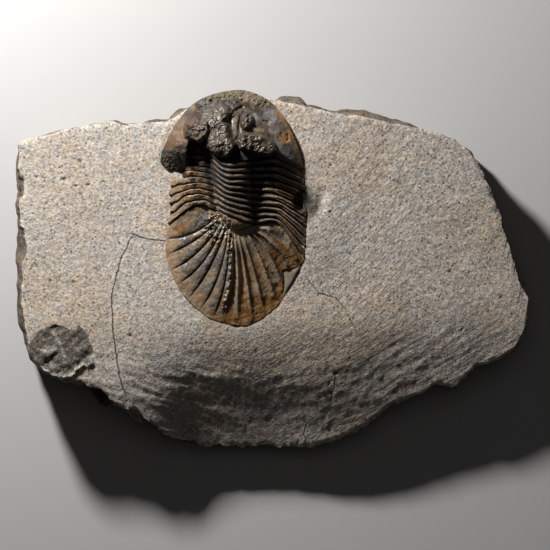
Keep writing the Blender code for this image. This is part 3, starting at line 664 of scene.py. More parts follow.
def makeLimestone():
    material, wire, shader = startMaterial("limestone")
    place = wire.spot()
    point = place.tilted()
    wall, chip, mould, crust = (wire.field(name) for name in ("wall", "chip", "mould", "crust"))

    # worked face: frosted, mottled, full of fine dark and pale grains
    broad, middling, small = point.noise(22, 3), point.noise(2.2, 4, 0.6), point.noise(0.9, 3, 0.6)
    colour = wire.plain(limestone["face"]).laid(limestone, {
        "warm": (broad + small * 0.9).rise(0.80, 1.1) * 0.8,
        "cool": (middling + small * 0.7).rise(0.84, 1.06) * 0.8})
    grains = point.cells(limestone["grainSize"], 1)  # a random colour for each grain
    contrast = limestone["grainContrast"]
    colour = colour.times(grains.channel(0) * contrast + (1 - contrast / 2))
    larger, chosen = point.cells(0.8), point.cells(0.8, 1)
    near = 1 - larger.rise(0.25, 0.5)
    colour = colour.laid(limestone, {"paleGrain": near * chosen.channel(0).rise(0.78, 0.84) * 0.6,
                                     "speck": near * chosen.channel(1).rise(0.80, 0.88) * 0.75})
    colour = colour.over(limestone["speck"], (1 - point.cells(2.6).rise(0.05, 0.13)) * 0.9)
    tooled = 0.0
    for name, (length, width, turn) in limestone["strokes"].items():
        streaks = place.stretched((length, width, 2), turn).noise(1, 3, 0.6)
        tooled = (streaks - 0.5) * wire.field(name) + tooled
    colour = colour.times(tooled * 1.1 + 1)
    cracked = crackLines(place)
    # the pits are painted hollow, a painted shade inside them
    colour = colour.laid(limestone, {"hollow": wire.field("pit"), "stain": wire.field("stain") * 0.75,
                                     "mould": mould, "crackColour": cracked * 0.85})
    for dot in limestone["rustDots"]:
        colour = colour.over(limestone["rustDot"], 1 - place.awayFromPoint(dot).rise(0.25, 0.7))

    # unworked corner
    chipMask = chip.rise(-0.2, 0.12)
    flecks = point.noise(0.9, 4, 0.7)
    streaks = place.stretched((3.2, 0.7, 2), 42).noise(1, 4, 0.65)
    dark = wire.plain(limestone["chip"]).laid(limestone, {
        "chipPale": (flecks + grains.channel(1) * 0.25).rise(0.56, 0.74),
        "chipDark": streaks.rise(0.52, 0.64) * 0.8,
        # veinAndHighlight: the pale veins, and a painted highlight on the crest of the chip's lower edge
        "veinAndHighlight": wire.field("veinAndHighlight") * point.noise(0.5, 3, 0.7).rise(0.36, 0.55)})
    colour = colour.over(dark.times(grains.channel(2) * 0.5 + 0.75), chipMask)

    # broken sides
    stone = wire.plain(limestone["broken"]).laid(limestone, {
        "brokenDark": point.noise(3.5, 5, 0.65).rise(0.5, 0.7),
        "brokenPale": point.noise(1.7, 4, 0.6).rise(0.54, 0.68) * 0.8})
    darker = point.noise(2.2, 4, 0.65).rise(0.46, 0.66)
    natural = wire.plain(limestone["crust"]).over(limestone["crustDark"], darker)
    upper = place.part("Z").rise(*limestone["crustFades"])
    skinned = crust * upper + (1 - upper) * 0.42 + point.noise(5, 4, 0.6) * 2.2
    stone = stone.over(natural, skinned.rise(1.35, 1.75))
    stone = stone.times(point.noise(0.7, 3, 0.7) * 0.9 + 0.55)
    colour = colour.over(stone, wall.rise(0.02, 0.5))
    colour.plug(shader, "Base Color")

    (0.95 - 0.12 * chipMask - 0.2 * mould).plug(shader, "Roughness")
    shader.inputs["Specular IOR Level"].default_value = 0.3
    sandy = point.noise(0.42, 3, 0.65) + (1 - larger) * 0.35 + point.noise(1.3, 2) * 0.6
    height = sandy * limestone["grainBump"] * (1 - 0.7 * mould) + tooled * limestone["strokeBump"]
    hackly = (point.noise(2.4, 5, 0.62) + point.noise(0.8, 3, 0.6) * 0.35) * wall.rise(0.02, 0.5)
    (height - cracked * 0.15 + hackly * limestone["wallBump"]).raised(shader)
    return material


shell = {
    # dark is the shell's real dark blotch colour and also the painted shade laid where darkAndShade is
    # high
    "dark": (0.018, 0.012, 0.007), "brown": (0.105, 0.076, 0.048), "tan": (0.325, 0.225, 0.137),
    "slateDark": (0.085, 0.075, 0.066), "slatePale": (0.25, 0.228, 0.202),
    "rustDeep": (0.23, 0.105, 0.032), "rustPale": (0.42, 0.23, 0.09),
    "dust": (0.112, 0.085, 0.048), "dustPale": (0.22, 0.172, 0.105),
    "polish": 0.22, "dull": 0.8,
}


def makeShell():
    material, wire, shader = startMaterial("fossil shell")
    point = wire.spot().tilted()
    slate, rust, dust, tan, darkAndShade = (wire.field(name) for name in ("slate", "rust", "dust", "tan", "darkAndShade"))
    blotch, speckle, fine = point.noise(2.6, 4, 0.6), point.noise(0.7, 4, 0.65), point.noise(0.22, 3, 0.6)
    colour = wire.plain(shell["brown"]).laid(shell, {
        "dark": (blotch + speckle * 0.7).rise(0.80, 1.0) * 0.8,
        "tan": (tan + speckle * 0.7 + blotch * 0.5 - 0.6).rise(0.1, 0.75) * 0.9})
    grey = wire.plain(shell["slateDark"]).over(shell["slatePale"], (speckle + blotch).rise(0.8, 1.24))
    colour = colour.over(grey, (slate + blotch * 0.8 + speckle * 0.3 - 0.63).rise(0.2, 0.6) * 0.85)
    iron = wire.plain(shell["rustDeep"]).over(shell["rustPale"], point.noise(1.5, 4, 0.6).rise(0.42, 0.7))
    colour = colour.over(iron, (rust + speckle * 0.5 + blotch * 0.4 - 0.45).rise(0.3, 0.6) * 0.9)
    # painted shade: where darkAndShade is high the colour goes to dark and is darkened again below. It
    # stands in for shade in seams, furrows, valleys, pits, hollows and under edges, and also holds some
    # real dark shell
    colour = colour.over(shell["dark"], darkAndShade * 0.92)
    grit = wire.plain(shell["dust"]).over(shell["dustPale"], point.noise(0.5, 3, 0.7).rise(0.46, 0.62))
    dusty = (dust + speckle * 0.9 - 0.45).rise(0.3, 0.6)
    colour = colour.over(grit, dusty)
    colour = colour.times((fine * 0.6 + point.noise(0.42, 3, 0.7) * 1.3 + 0.06) * (1 - 0.45 * darkAndShade))
    colour.plug(shader, "Base Color")
    worn = dusty.maths("MAXIMUM", darkAndShade * 0.95) * (shell["dull"] - shell["polish"])
    (speckle * 0.3 + worn + (shell["polish"] - 0.12)).plug(shader, "Roughness")
    shader.inputs["Specular IOR Level"].default_value = 0.55
    (speckle * 0.10 + fine * 0.03 + fine * dusty * 0.05).raised(shader)
    return material


limestoneLook = makeLimestone()
shellLook = makeShell()
print("materials made")


# Slab

outline = animalOutline()


def crowded(share, at):  # grid lines closer together near the animal
    span = np.where(share > at, 1 - at, at)
    away = np.abs(share - at) / span
    return at + (share - at) * (1 - slab["crowding"] + slab["crowding"] * away)


def worked(x, y):  # shallow strokes left by the tools, coarser beyond the tail
    upper, outer = ease(x, 12, 24) * ease(y, -24, -8), ease(x, 34, 38)
    low, leftPart, rightPart = ease(y, -15, -26), ease(x, -2, -12), ease(x, 20, 30)
    places = {"upper": upper * (1 - outer), "outer": upper * outer, "lowLeft": low * leftPart,
              "lowMiddle": low * (1 - leftPart) * (1 - rightPart),
              "lowRight": ease(x, 22, 32) * ease(y, -10, -20)}
    marks = low * 0.07 * grain(x, y, 2.0, seed=66, octaves=3)
    for name, (height, turn, length, width, seed) in slab["toolMarks"].items():
        marks += height * places[name] * strokes(x, y, turn, length, width, seed)
    return marks


def stoneFace(x, y):
    level = bedding(x, y)
    level = level - 0.55 * along(x, y, slab["trough"], 1.4) - 0.2 * along(x, y, slab["sideDip"], 2.4)
    level += spots(x, y, slab["dents"]) + 0.20 * grain(x, y, 12, seed=3) + 0.10 * grain(x, y, 5, seed=4)
    pitted = np.maximum.reduce([swelling(x, y, (px, py), (r * 1.5, r)) for px, py, r in slab["pits"]])
    return level + worked(x, y) + 0.06 * grain(x, y, 1.2, seed=5, octaves=3) - 0.5 * pitted, pitted


def makeSlab():
    u, v = unitGrid(slab["columns"], slab["rows"])
    u, v = crowded(u, slab["crowdedAt"][0]), crowded(v, slab["crowdedAt"][1])

    def spread(kind):  # grid filled in between four sides
        sides = ("bottom", 0, u), ("top", 0, u), ("left", 1, v), ("right", 1, v)
        bottom, top, left, right = (lineThrough(slab[side + kind], sharesOf(slab[side + kind], axis), at)
                                    for side, axis, at in sides)
        a, b = u[..., None], v[..., None]
        lower, upper = mixed(bottom[0, 0], bottom[0, -1], a), mixed(top[-1, 0], top[-1, -1], a)
        return mixed(bottom, top, b) + mixed(left, right, a) - mixed(lower, upper, b)

    plan, foot = spread("Edge"), spread("Foot")
    x, y = plan[..., 0], plan[..., 1]
    toEdge = np.minimum(np.minimum(u, 1 - u) * slab["size"][0], np.minimum(v, 1 - v) * slab["size"][1])
    shake = (1 - ease(toEdge, 0, 3)) * (0.22 + 0.25 * ease(y, -15, -30))
    x = x + shake * grain(x, y, 1.5, seed=11, octaves=3, gain=0.6)
    y = y + shake * grain(x, y, 1.5, seed=12, octaves=3, gain=0.6)
    z, pitted = stoneFace(x, y)
    z = z - (0.25 + 0.25 * grain(x, y, 2.4, seed=13, octaves=2)) * (1 - ease(toEdge, 0, 0.9))

    away = outsideOf(x, y, outline)
    z = z - 2.4 * ease(-away, 0.55, 1.7) - 0.12 * np.exp(-(away / 0.45) ** 2)
    ragged = outsideOf(x, y, slab["chip"]) + 0.35 * grain(x, y, 1.3, seed=14, octaves=2)
    chipped = ease(-ragged, -0.1, 0.5)
    rough = 0.32 * strokes(x, y, 42, 5, 1.3, 15) + 0.26 * grain(x, y, 1.6, seed=17, octaves=3, gain=0.6)
    crest = np.exp(-((ragged + 0.2) / 0.5) ** 2) * ease(y, -20.5, -23)
    z = z + chipped * (rough - slab["chipDepth"]) + 0.7 * crest
    brokenPart = np.linspace(tail["brokenAt"][0] - 0.1, tail["brokenAt"][-1], 25)
    wholeEdge = [tuple(p) for p in wholeTailEdge(brokenPart)]
    brokenEdge = [tuple(p) for p in tailEdge(brokenPart[::-1])[0]]
    mould = ease(-outsideOf(x, y, wholeEdge + brokenEdge), -0.5, 0.1)
    z = z + slab["mouldRise"] * mould * ease(awayFrom(x, y, wholeEdge), 0.1, 0.8) * ease(away, -0.6, -0.1)
    halo = np.exp(-np.maximum(away, 0) / 0.7) * ease(-y, 2, 9) * (0.6 + 0.4 * grain(x, y, 2, seed=16))
    # the crest along the chip's lower edge is painted pale like the veins, a painted highlight on its rim
    veins = np.maximum.reduce([along(x, y, veinAndHighlight, 0.35) for veinAndHighlight in limestone["veins"]] + [crest])
    topCrust = ease(x, -2.5, 1.5) * ease(x, 11, 7.5) + ease(x, 12, 17) * ease(x, 42, 36)
    topCrust += ease(x, -31, -27) * ease(x, -18, -23) + swelling(x, y, (-41, 40), (4, 4))
    crusted = 0.7 * ease(x, -60, -64) * ease(y, -16, -12) + (y > 30) * np.clip(topCrust, 0, 1)
    fields = {"chip": -ragged, "mould": mould, "stain": np.clip(halo, 0, 1), "veinAndHighlight": veins,
              "crust": crusted, "pit": pitted ** 0.5,
              "upStrokes": ease(x, 8, 18) * (1 - ease(x, 33, 38)) * ease(y, -26, -14),
              "downStrokes": ease(x, 33, 38) * ease(y, -14, -4) * ease(x, 66, 52),
              "lowStrokes": np.clip(ease(y, -8, -20) * ease(x, -30, 0), 0, 1)}
    plan = np.stack([x, y], -1)

    def wallRings(rim):
        outward = roundEdge((foot - plan)[::-1] if isTurned(grid) else foot - plan)
        rx, ry = rim[:, 0], rim[:, 1]
        normal = rim[:, :2] / np.array(slab["halfSpan"]) ** 2
        normal = normal / np.hypot(*normal.T)[:, None]
        recess = ease(awayFrom(rx, ry, slab["recess"]), 3.5, 1.2)
        for number in range(1, slab["wallRings"] + 1):
            share = number / slab["wallRings"]
            height = rim[:, 2] * (1 - share)
            reach = min(1.0, share / 0.45) ** 0.7 - 0.35 * ease(share, 0.6, 1.0)
            inward = 1.1 * ease(share, 0.7, 0.8) - 0.3 * ease(share, 0, 0.2)
            reach = mixed(reach, inward, recess)
            tilt = 1.2 * grain(rx, ry, 9, seed=21)
            bed = np.floor((height + tilt) / slab["bedThickness"]).astype(np.int64)
            run = np.floor((rx + ry) / 14).astype(np.int64)
            rough = slab["ledges"] * (scattered(bed, bed * 0, run, 22) - 1)
            rough = rough + slab["blocks"] * grain(rx, ry, 5, height * 0.9, seed=23, octaves=2, gain=0.4)
            rough = rough * math.sin(math.pi * min(share, 0.9))
            place = rim[:, :2] + outward * reach[:, None] + normal * rough[:, None]
            yield np.column_stack([place, height])

    grid = np.stack([x, y, z], -1)
    piece = blockFromGrid("matrix_stone", grid, wallRings, fields)
    piece.data.set_sharp_from_angle(angle=math.radians(55))
    standsFor(piece, "matrix_slab", limestoneLook)


makeSlab()
print("slab made")


# Head

def lobe(x, y, outline, steep, wander=0.3):  # 0 outside a drawn outline, 1 well inside it
    inside = -outsideOf(x, y, outline) + wander * grain(x, y, 1.7, seed=38, octaves=2)
    return ease(inside, -0.25, steep)


def headSurface(x, y, toRear):
    out = np.hypot((x - head["middle"][0]) / head["reach"][0], (y - head["middle"][1]) / head["reach"][1])
    leftCheek = ease(x, -18.5, -22.5)
    relief = mixed(*head["edgeRelief"], ease(x, -8, 2)) + head["rise"] * np.maximum(0.0, 1 - out ** 2.3)
    relief = mixed(relief, 0.1, leftCheek * (1 - ease(y, 27.4, 34.4) ** 0.8))  # falls away behind
    relief = relief - 0.8 * ease(x, -1, 4) * (1 - ease(toRear, 0, 1.2))

    # lobes, gentle in front and steep behind
    middle = lobe(x, y, head["middleLobe"], 1.9, 0.5)
    leftEye = lobe(x, y, head["leftEye"], 0.9) * ease(y, 43.2, 39.4)
    rightEye = lobe(x, y, head["rightEye"], 0.8)
    knob = lobe(x, y, head["knob"], 0.8, 0.1)
    ramp = ease(swelling(x, y, *head["ramp"]), 0, 0.6)
    tops = head["lobeHeights"]
    middleTop = tops[0] + 0.9 * ease(y, 38, 34) - 0.5 * ease(y, 41, 45.5)
    lobes = [middleTop * middle, tops[1] * leftEye, tops[2] * rightEye, 0.9 * ramp]
    relief += np.maximum.reduce(lobes) + 0.4 * middle * swelling(x, y, (-14.4, 40), (5, 14))
    pit = ease(swelling(x, y, *head["pit"]), 0, 0.5) * (1 - leftEye) * (1 - middle)
    notch = ease(swelling(x, y, *head["notch"]), 0, 0.6) * (1 - rightEye)
    relief = relief - 3.0 * pit - 2.0 * notch - 0.7 * swelling(x, y, (-9.7, 35), (1.0, 2.0))

    toFinger = awayFrom(x, y, head["finger"])
    finger = np.exp(-(toFinger / 0.68) ** 4)
    groove, arch = along(x, y, head["groove"], 0.42), along(x, y, head["arch"], 0.75)
    tan = along(x, y, head["tanStreak"], 0.6)
    swirl, bowl, hole = (swelling(x, y, *head[name]) for name in ("swirl", "bowl", "hole"))
    relief += finger * (0.14 + 0.049 * np.cos(toFinger * 9)) - 0.6 * groove * (1 - 0.6 * finger)
    relief += tops[3] * knob - 0.55 * arch + 0.4 * swirl - 0.8 * bowl - 0.25 * hole
    for height, halfWidth, path in head["scores"] + [(-0.35, 0.35, head["ochreLoop"])]:
        relief += height * along(x, y, path, halfWidth)

    # wrinkles and granules on the lobes, grit on the front border and the left corner
    smooth = np.clip(finger + swirl * 2 + bowl * 1.5 + arch + tan, 0, 1) * (1 - 0.8 * knob)
    granular = np.clip(middle + leftEye + rightEye + knob + ramp * 0.7, 0, 1) * (1 - smooth)
    frontSkin = ease(y, 40.5, 42.5) * ease(x, -22.5, -19.5) * ease(x, -8.5, -11) * (1 - granular)
    granular = (granular + 0.95 * frontSkin) * ease(out, 0.99, 0.88)
    wavyX, wavyY = x + 0.5 * grain(x, y, 1.8, seed=31), y + 0.5 * grain(x, y, 1.8, seed=39)
    folds, fineFolds = (1 - 2 * np.abs(grain(wavyX, wavyY, size, seed=seed))
                        for size, seed in ((1.3, 34), (0.62, 30)))
    skin = 0.24 * folds + 0.20 * fineFolds + 0.20 * pebbles(wavyX, wavyY, 0.9, 32)
    skin = skin + 0.3 * grain(x, y, 2.6, seed=37)
    relief += (granular + 0.5 * frontSkin) * skin
    relief += 0.5 * bumps(x, y, head["knobs"], 0.8) + 0.5 * bumps(x, y, head["ledgeKnobs"], 0.75)
    corner = leftCheek * ease(y - 0.2 * (x + 27) + 1.1 * grain(x, y, 2, seed=29, octaves=3), 35.2, 32.0)
    border = ease(out + 0.03 * grain(x, y, 2, seed=28), 0.82, 0.90) * ease(y, 43.4, 45.2)
    border = border * ease(x, 0.3, -3) * ease(x, -19.5, -16.5)
    relief += (corner * 0.3 + border * 0.42) * grain(x, y, 1.3, seed=35, octaves=4, gain=0.66)
    relief += 0.14 * grain(x, y, 2.2, seed=36, octaves=3) * ease(out, 1.0, 0.9)

    # colour
    leftTop = leftCheek * (1 - corner)
    behindEye = ease(y, 34.0, 32.4) * ease(x, -13, -11) * ease(x, 1.5, -1) * (1 - rightEye)
    cheekEdge = x + 0.5 * (y - 38) + 0.9 * grain(x, y, 2.5, seed=33, octaves=2)
    rightCheek = ease(cheekEdge, -3.0, -0.4) * ease(y, 43, 39)
    rim = ease(out, 0.84, 0.95) * ease(x, -1, 2)
    # darkAndShade is painted shade in the eye pit, behind the right eye, in the notch, hole, groove and
    # arch, in the dents of the wrinkles, and along the left cheek's outline and rear edge. The darker
    # left cheek, front border, finger and granules are the shell's own colour, and the left corner is
    # partly its own dark colour and partly painted shade
    darkAndShade = 0.58 * leftTop + 0.6 * ease(out, 0.93, 1.0) * leftCheek + 0.6 * corner + 0.25 * border
    darkAndShade += 0.5 * finger + 0.8 * groove + 0.3 * arch + 0.5 * hole + notch + 0.95 * (pit + behindEye)
    darkAndShade += granular * (0.2 * ease(x, -4, -9) + 0.55 * ease(folds, 0.5, -0.2)) + 0.3 * frontSkin
    darkAndShade += 0.5 * ease(toRear, 1.6, 0.3) * ease(x, -21, -18)
    fields = {
        "slate": bowl + 1.5 * swirl + 1.2 * rightCheek * (1 - rim),
        "rust": 0.8 * rim * ease(y, 29, 33) + 1.7 * along(x, y, head["ochreLoop"], 0.7) + 0.8 * leftTop,
        "dust": 0.85 * border + 0.65 * finger + 0.55 * tan,
        "tan": (0.1 * leftTop + 0.12 * granular + 0.6 * tan + 0.6 * rim
                + 0.6 * rightCheek * swelling(x, y, (0, 38), (5, 5))),
        "darkAndShade": darkAndShade,
    }
    for label, places in head["spots"].items():
        fields[label] = fields[label] + spots(x, y, places)
    return relief, fields


def makeHead():
    rear = np.concatenate([head["cheekRear"], thoraxLine(np.linspace(0.2, 1, 121), -animal["gap"] * 0.5)])
    u, v = unitGrid(head["columns"], head["rows"])
    start = lineThrough(rear, placesAlong(rear), u)
    end = curveThrough(head["front"], placesAlong(head["front"]), u.ravel()).reshape(u.shape + (2,))
    x, y = np.moveaxis(mixed(start, end, v[..., None]), -1, 0)
    relief, fields = headSurface(x, y, awayFrom(x, y, [tuple(p) for p in rear[::3]]))
    makePlate("head_plate", "head_shield", x, y, relief, fields)


makeHead()
print("head made")


# Thorax

thorax = {
    "columns": 300, "rows": 20, "seam": 0.045, "wobble": 0.16, "leftWobble": 0.22,
    "leftStep": 0.95, "ringRise": 0.75, "ridgeRise": 1.05,
    "ridges": ((0.72, 0.21), (0.28, 0.14)),  # place and width of the main and the lesser ridge
    "tipStart": [0.17, 0.17, 0.17, 0.14, 0.11, 0.012, 0.0, 0.006, 0.014, 0.0],  # on the left, each band
    "rustyRidges": [0.0, 0.1, 0.3, 0.9, 1.0, 0.2, 0.1, 0.3, 0.6, 0.5],  # on the right, each band
    "hollow": ((6.6, 19.6), (2.4, 3.4)), "blob": ((-19.3, 18.9), (1.1, 0.9)),
    "lump": ((-22.6, 27.2), (1.7, 1.0), -20), "rustPatch": ((-11.4, 31.2), (3, 1.1)),
}


def makeBand(number):
    hidden = number < animal["hiddenTips"]
    start = thorax["tipStart"][number]
    u, v = unitGrid(thorax["columns"], thorax["rows"], start)
    seam = thorax["seam"] + 0.22 * ease(u, start + 0.045, start) ** 2
    band = number + 1 - seam - v * (1 - 2 * seam)
    x, y = np.moveaxis(thoraxLine(u, band), -1, 0)
    fromTip = np.minimum(u - start, 1 - u)
    wobble = thorax["wobble"] + thorax["leftWobble"] * ease(u, 0.36, 0.25)
    y = y + wobble * grain(x, (number + 1 - v) * 2.2, 2.6, seed=45, octaves=2) * ease(fromTip, 0, 0.03)
    bulge = animal["tipBulge"] * math.sin(math.pi * (number + 0.5) / animal["segments"])
    x = x + bulge * ease(u, 0.85, 1.0)

    # stepped on the left, round rings in the middle, narrow ridges on the right
    left, right, outer = ease(u, 0.34, 0.27), ease(u, 0.63, 0.68), ease(u, 0.77, 0.84)
    ring = ease(np.abs(u - 0.49), 0.15, 0.11)
    drop = 0.2 + 0.12 * grain(x, y, 3, seed=46)
    step = ease(1 - v, 0, 0.17) * (1 - 0.5 * (1 - v)) * ease(v, -0.04, drop)
    rounded = np.sin(math.pi * np.clip(v * 0.94 + 0.03, 0, 1)) ** 0.8
    main, lesser = (np.exp(-((v - at) / width) ** 2) for at, width in thorax["ridges"])
    ridge = mixed(0.8 * rounded ** 2, np.maximum(main, 0.6 * lesser), outer)
    profile = thorax["leftStep"] * step * (1 - ring) * (1 - right) + thorax["ringRise"] * rounded * ring
    profile += thorax["ridgeRise"] * (1 - 0.5 * outer) * ridge * right * ease(u, 1.0, 0.9)
    relief = thoraxRelief(u, band / animal["segments"]) + profile * ease(fromTip, 0, 0.04)
    if hidden:
        relief = relief * ease(u, start - 0.06, start + 0.12)
    recess = ease(u, 0.15, 0.23) * ease(u, 0.42, 0.365) * ease(number, 6.5, 2.5)
    relief = relief - 2.3 * recess + (0.09 + 0.08 * left) * grain(x, y, 1.2, seed=41 + number, octaves=3)
    leftFurrow = np.exp(-((u - 0.385) / 0.03) ** 2) * ease(number, 4, 7)
    relief += leftFurrow * (0.15 + 0.35 * grain(x, y, 0.9, seed=42, octaves=3))
    blob, lump, rustPatch = (swelling(x, y, *thorax[name]) for name in ("blob", "lump", "rustPatch"))
    # hollow is a dip in the right pleurae that is also given painted shade below
    hollow = ease(swelling(x, y, *thorax["hollow"]), 0.0, 0.5)
    relief += 0.6 * blob - 0.8 * hollow + 0.5 * lump

    # colour
    # seamShade is painted shade in the seams between the bands
    seamShade = 1 - ease(np.minimum(v, (1 - v) * 5), 0.0, 0.16 + 0.12 * left)
    # painted highlight: the front edge of each left band is made paler with slate, tan and a little dust
    edge = ease(v, 0.74, 0.86) * left * (1 - recess)
    # valleyShade is painted shade between the ridges on the right
    valleyShade = (1 - ease(ridge, 0.2, 0.55)) * right
    patches = grain(x, y, 2.2, seed=44)
    rusty = thorax["rustyRidges"][number]
    # slate and tan on the right ridges are partly the shell's colour and partly a painted highlight along
    # their crests
    slate = (0.9 - 0.5 * outer) * right * ridge * (1 - rusty) + 0.35 * main * outer * ease(number, 3.0, 5)
    slate += 0.55 * ease(u, 0.52, 0.57) * ring + 0.3 * grain(x, y, 3, seed=43) * (1 - ring)
    rust = right * ridge * rusty * (0.25 + 0.65 * outer) + 1.2 * rustPatch * ring + 1.4 * lump
    # darkAndShade here is painted shade in the seams, at the rear of each band, in the valleys on the
    # right, in the hollow, in the recess under the left eye and where the hidden tips go under the head;
    # on the axis rings it is partly their own darker colour
    darkAndShade = 0.7 * seamShade + 0.5 * ring - 1.2 * lump + 0.95 * valleyShade + 0.9 * hollow + 0.7 * recess
    makePlate(f"thorax_band_{number + 1:02d}", f"thorax_segment_{number + 1:02d}", x, y, relief, {
        "slate": slate + 1.3 * edge + 2 * blob,
        "rust": rust + (0.55 * (left - edge) + 0.35 * ring) * (0.6 + 1.2 * patches),
        "dust": 0.55 * leftFurrow + 0.2 * edge,
        "tan": (left * (1.15 + 0.3 * patches) + 0.6 * edge + (0.5 + 1.4 * outer) * right * ridge
                + 0.15 * ring),
        "darkAndShade": darkAndShade + 0.45 * ease(v, 0.35, 0.1) + hidden * ease(u, start + 0.09, start + 0.03),
    })


for number in range(animal["segments"]):
    makeBand(number)
print("thorax made")


# Tail

def bent(start, bend, end, share):  # a curve that leans towards its bend
    s = share[:, None]
    return start * (1 - s) ** 2 + bend * 2 * s * (1 - s) + end * s ** 2


def makeTail():
    ribs, axisShare, lastLine = tail["ribs"], tail["axisShare"], animal["segments"] + 0.05
    u, v = unitGrid(ribs * tail["columnsPerRib"], tail["rows"])
    shape, u, v = u.shape, u.ravel(), v.ravel()
    axis = tailAxis(u)
    onAxis = v < axisShare
    share = np.clip(v / axisShare, 0, 1)
    frontU = mixed(across[2], across[4], u)
    axisPlan = mixed(thoraxLine(frontU, lastLine), axis, share[:, None])
    axisRelief = mixed(thoraxRelief(frontU, 1.0), animal["furrowRelief"], share ** 2)

    # ribs fan out along curves, each leaning towards its own bend
    out = np.clip((v - axisShare) / (1 - axisShare), 0, 1)
    place = u * ribs
    numbers = np.arange(ribs + 1)
    edge, left = tailEdge(np.interp(place, numbers, tail["furrowEnds"]))
    plan = bent(axis, lineThrough(tail["furrowBends"], numbers, place), edge, out)
    reached = out * left
    relief = mixed(animal["furrowRelief"], tail["edgeRelief"], reached ** 1.35)
    wander = place + 0.07 * grain(u * 40, reached * 6, 3, seed=51)
    toFurrow = 2 * np.abs(wander - np.round(wander))
    rightSide = ease(u, 0.49, 0.55)
    dome = 1 - (1 - toFurrow) ** 2
    broad = 0.5 * ease(toFurrow, 0.02, 0.24) + 0.45 * dome
    narrow = 0.25 * dome + 0.75 * np.exp(-((1 - toFurrow) / 0.32) ** 2)
    rib = mixed(broad, narrow, rightSide)
    height = tail["ribHeight"] * (1 - 0.35 * ease(reached, 0.4, 0.9))
    relief += height * rib * ease(reached, 0.0, 0.2) * ease(reached, 1.02, 0.74)
    relief = relief * (1 - 0.4 * ease(left, 0.97, 0.88) * ease(out, 0.4, 1.0))

    # outermost ribs join the last band
    onLeft = u < 0.5
    side = np.where(onLeft, 0, -1)
    sideU = np.where(onLeft, across[2] * (1 - out), mixed(across[4], 1, out))
    foot, corner = tailAxis(np.array([0.0, 1.0]))[side], np.stack([tailFront(0.0), tailFront(1.0)])[side]
    straight = bent(foot, np.array(tail["furrowBends"])[side], corner, out)
    joining = ease(np.minimum(u, 1 - u) * ribs, 1.0, 0.0)
    plan = plan + (thoraxLine(sideU, lastLine) - straight) * joining[:, None]
    relief = mixed(relief, thoraxRelief(sideU, 1.0), joining)

    plan = np.where(onAxis[:, None], axisPlan, plan)
    relief, reached = np.where(onAxis, axisRelief, relief), np.where(onAxis, 0, reached)
    x, y, relief, rib, reached, u, rightSide = (
        values.reshape(shape) for values in (*plan.T, relief, rib, reached, u, rightSide))

    middleRow = along(x, y, tail["middleRow"], 0.6)
    nearAxis = swelling(x, y, *tail["nearAxis"]) * ease(u, 0.56, 0.5)
    behindLast = swelling(x, y, *tail["behindLast"])
    relief += middleRow * (0.8 * pebbles(x, y, 0.95, 52) - 0.2) - 0.7 * behindLast
    relief += nearAxis * 0.7 * grain(x, y, 0.9, seed=53, octaves=3)
    relief += nearAxis * 0.45 * pebbles(x, y, 0.8, 58) + 0.12 * grain(x, y, 4, seed=57)
    relief += 0.11 * grain(x, y, 1.4, seed=54, octaves=4, gain=0.6)

    # colour
    # furrow marks the tail's furrows: the rust there on the right is the shell's colour, the darkening
    # below is painted shade
    furrow = (1 - rib) * ease(reached, 0.05, 0.2) * ease(reached, 1.0, 0.9)
    edgeBand = ease(reached, 0.80, 0.93)
    patches = grain(x, y, 3.2, seed=55, octaves=2)
    rust = furrow * rightSide * (0.75 + 0.8 * grain(x, y, 4, seed=56)) * ease(reached, 0.15, 0.5)
    flakes = np.maximum(grain(x, y, 1.6, seed=59), 0)
    rust += edgeBand * (0.12 + 0.6 * flakes + 0.4 * ease(u, 0.44, 0.55))
    # tan on the right rib crests is partly a painted highlight; darkAndShade is painted shade in the
    # furrows and in the dip behind the last band
    makePlate("tail_plate", "tail_shield", x, y, relief, {
        "slate": (0.52 + 0.6 * patches) * rib * (1 - 0.7 * edgeBand) + 0.15 * rightSide * rib,
        "rust": (rust + 0.35 * rightSide * patches
                 + 0.7 * (1 + patches) * swelling(x, y, *tail["rustPatch"])),
        "dust": 0.45 * middleRow + 0.35 * nearAxis,
        "tan": 0.6 * (1 - rightSide) * rib + edgeBand + 1.3 * rightSide * (0.4 + 0.6 * rib),
        "darkAndShade": 0.55 * furrow * (1 - 0.75 * rightSide * ease(reached, 0.25, 0.6)) + 0.9 * behindLast,
    })


makeTail()
print("tail made")


# Studio: pale floor, a low soft key from the head's left, a weak fill, and a camera straight above

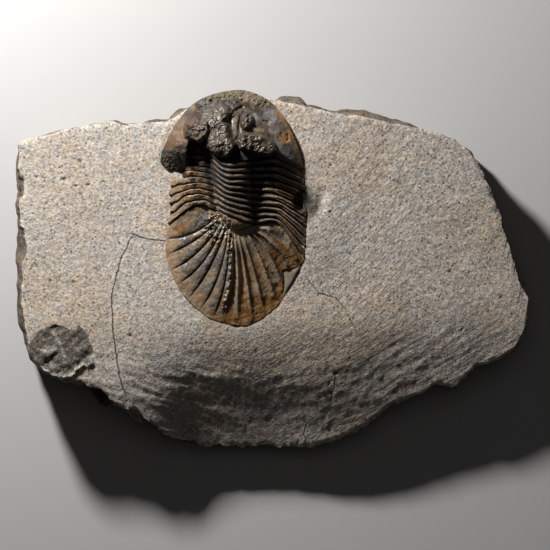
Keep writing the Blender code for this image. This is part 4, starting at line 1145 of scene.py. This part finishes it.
studio = {
    "floorColour": (0.52, 0.51, 0.495), "floorSize": 1.6,
    "lamps": {"key": (326, 26, 0.31, 0.04, 1.8),
              "fill": (20, 75, 0.7, 0.5, 0.10)},  # azimuth, elevation, distance, size, watts
    "worldGrey": 0.014,
    "cameraHeight": 1.2, "levelInFocus": 0.020, "frameWidth": 0.14575, "sensor": 36.0,
}


def makeStudio():
    bpy.ops.mesh.primitive_plane_add(size=studio["floorSize"], location=(0, 0, -0.0002))
    floor = bpy.context.object
    floor.name = "floor"
    material, wire, shader = startMaterial("studio floor")
    tone = wire.spot().noise(60, 2) * 0.04 + 0.96
    wire.plain(studio["floorColour"]).times(tone).plug(shader, "Base Color")
    shader.inputs["Roughness"].default_value = 0.7
    floor.data.materials.append(material)

    def softLight(name, azimuth, elevation, distance, size, power):
        a, e = math.radians(azimuth), math.radians(elevation)
        towards = Vector((math.sin(a) * math.cos(e), math.cos(a) * math.cos(e), math.sin(e)))
        data = bpy.data.lights.new(name, "AREA")
        data.shape, data.size, data.energy = "DISK", size, power
        lamp = bpy.data.objects.new(name, data)
        lamp.location = towards * distance + Vector((0, 0, studio["levelInFocus"]))
        lamp.rotation_euler = towards.to_track_quat("Z", "Y").to_euler()
        bpy.context.scene.collection.objects.link(lamp)

    for name, lamp in studio["lamps"].items():
        softLight(name, *lamp)
    world = bpy.data.worlds.new("studio")
    world.use_nodes = True
    world.node_tree.nodes["Background"].inputs["Color"].default_value = paint((studio["worldGrey"],) * 3)
    bpy.context.scene.world = world

    data = bpy.data.cameras.new("camera")
    data.sensor_width = studio["sensor"]
    reach = studio["cameraHeight"] - studio["levelInFocus"]
    data.lens = studio["sensor"] * reach / studio["frameWidth"]
    data.clip_start, data.clip_end = 0.05, 10
    camera = bpy.data.objects.new("camera", data)
    camera.location = (-slabMiddle[0] * mm, -slabMiddle[1] * mm, studio["cameraHeight"])
    bpy.context.scene.collection.objects.link(camera)
    bpy.context.scene.camera = camera
    bpy.context.scene.view_settings.view_transform = "Standard"


makeStudio()
print("studio made")
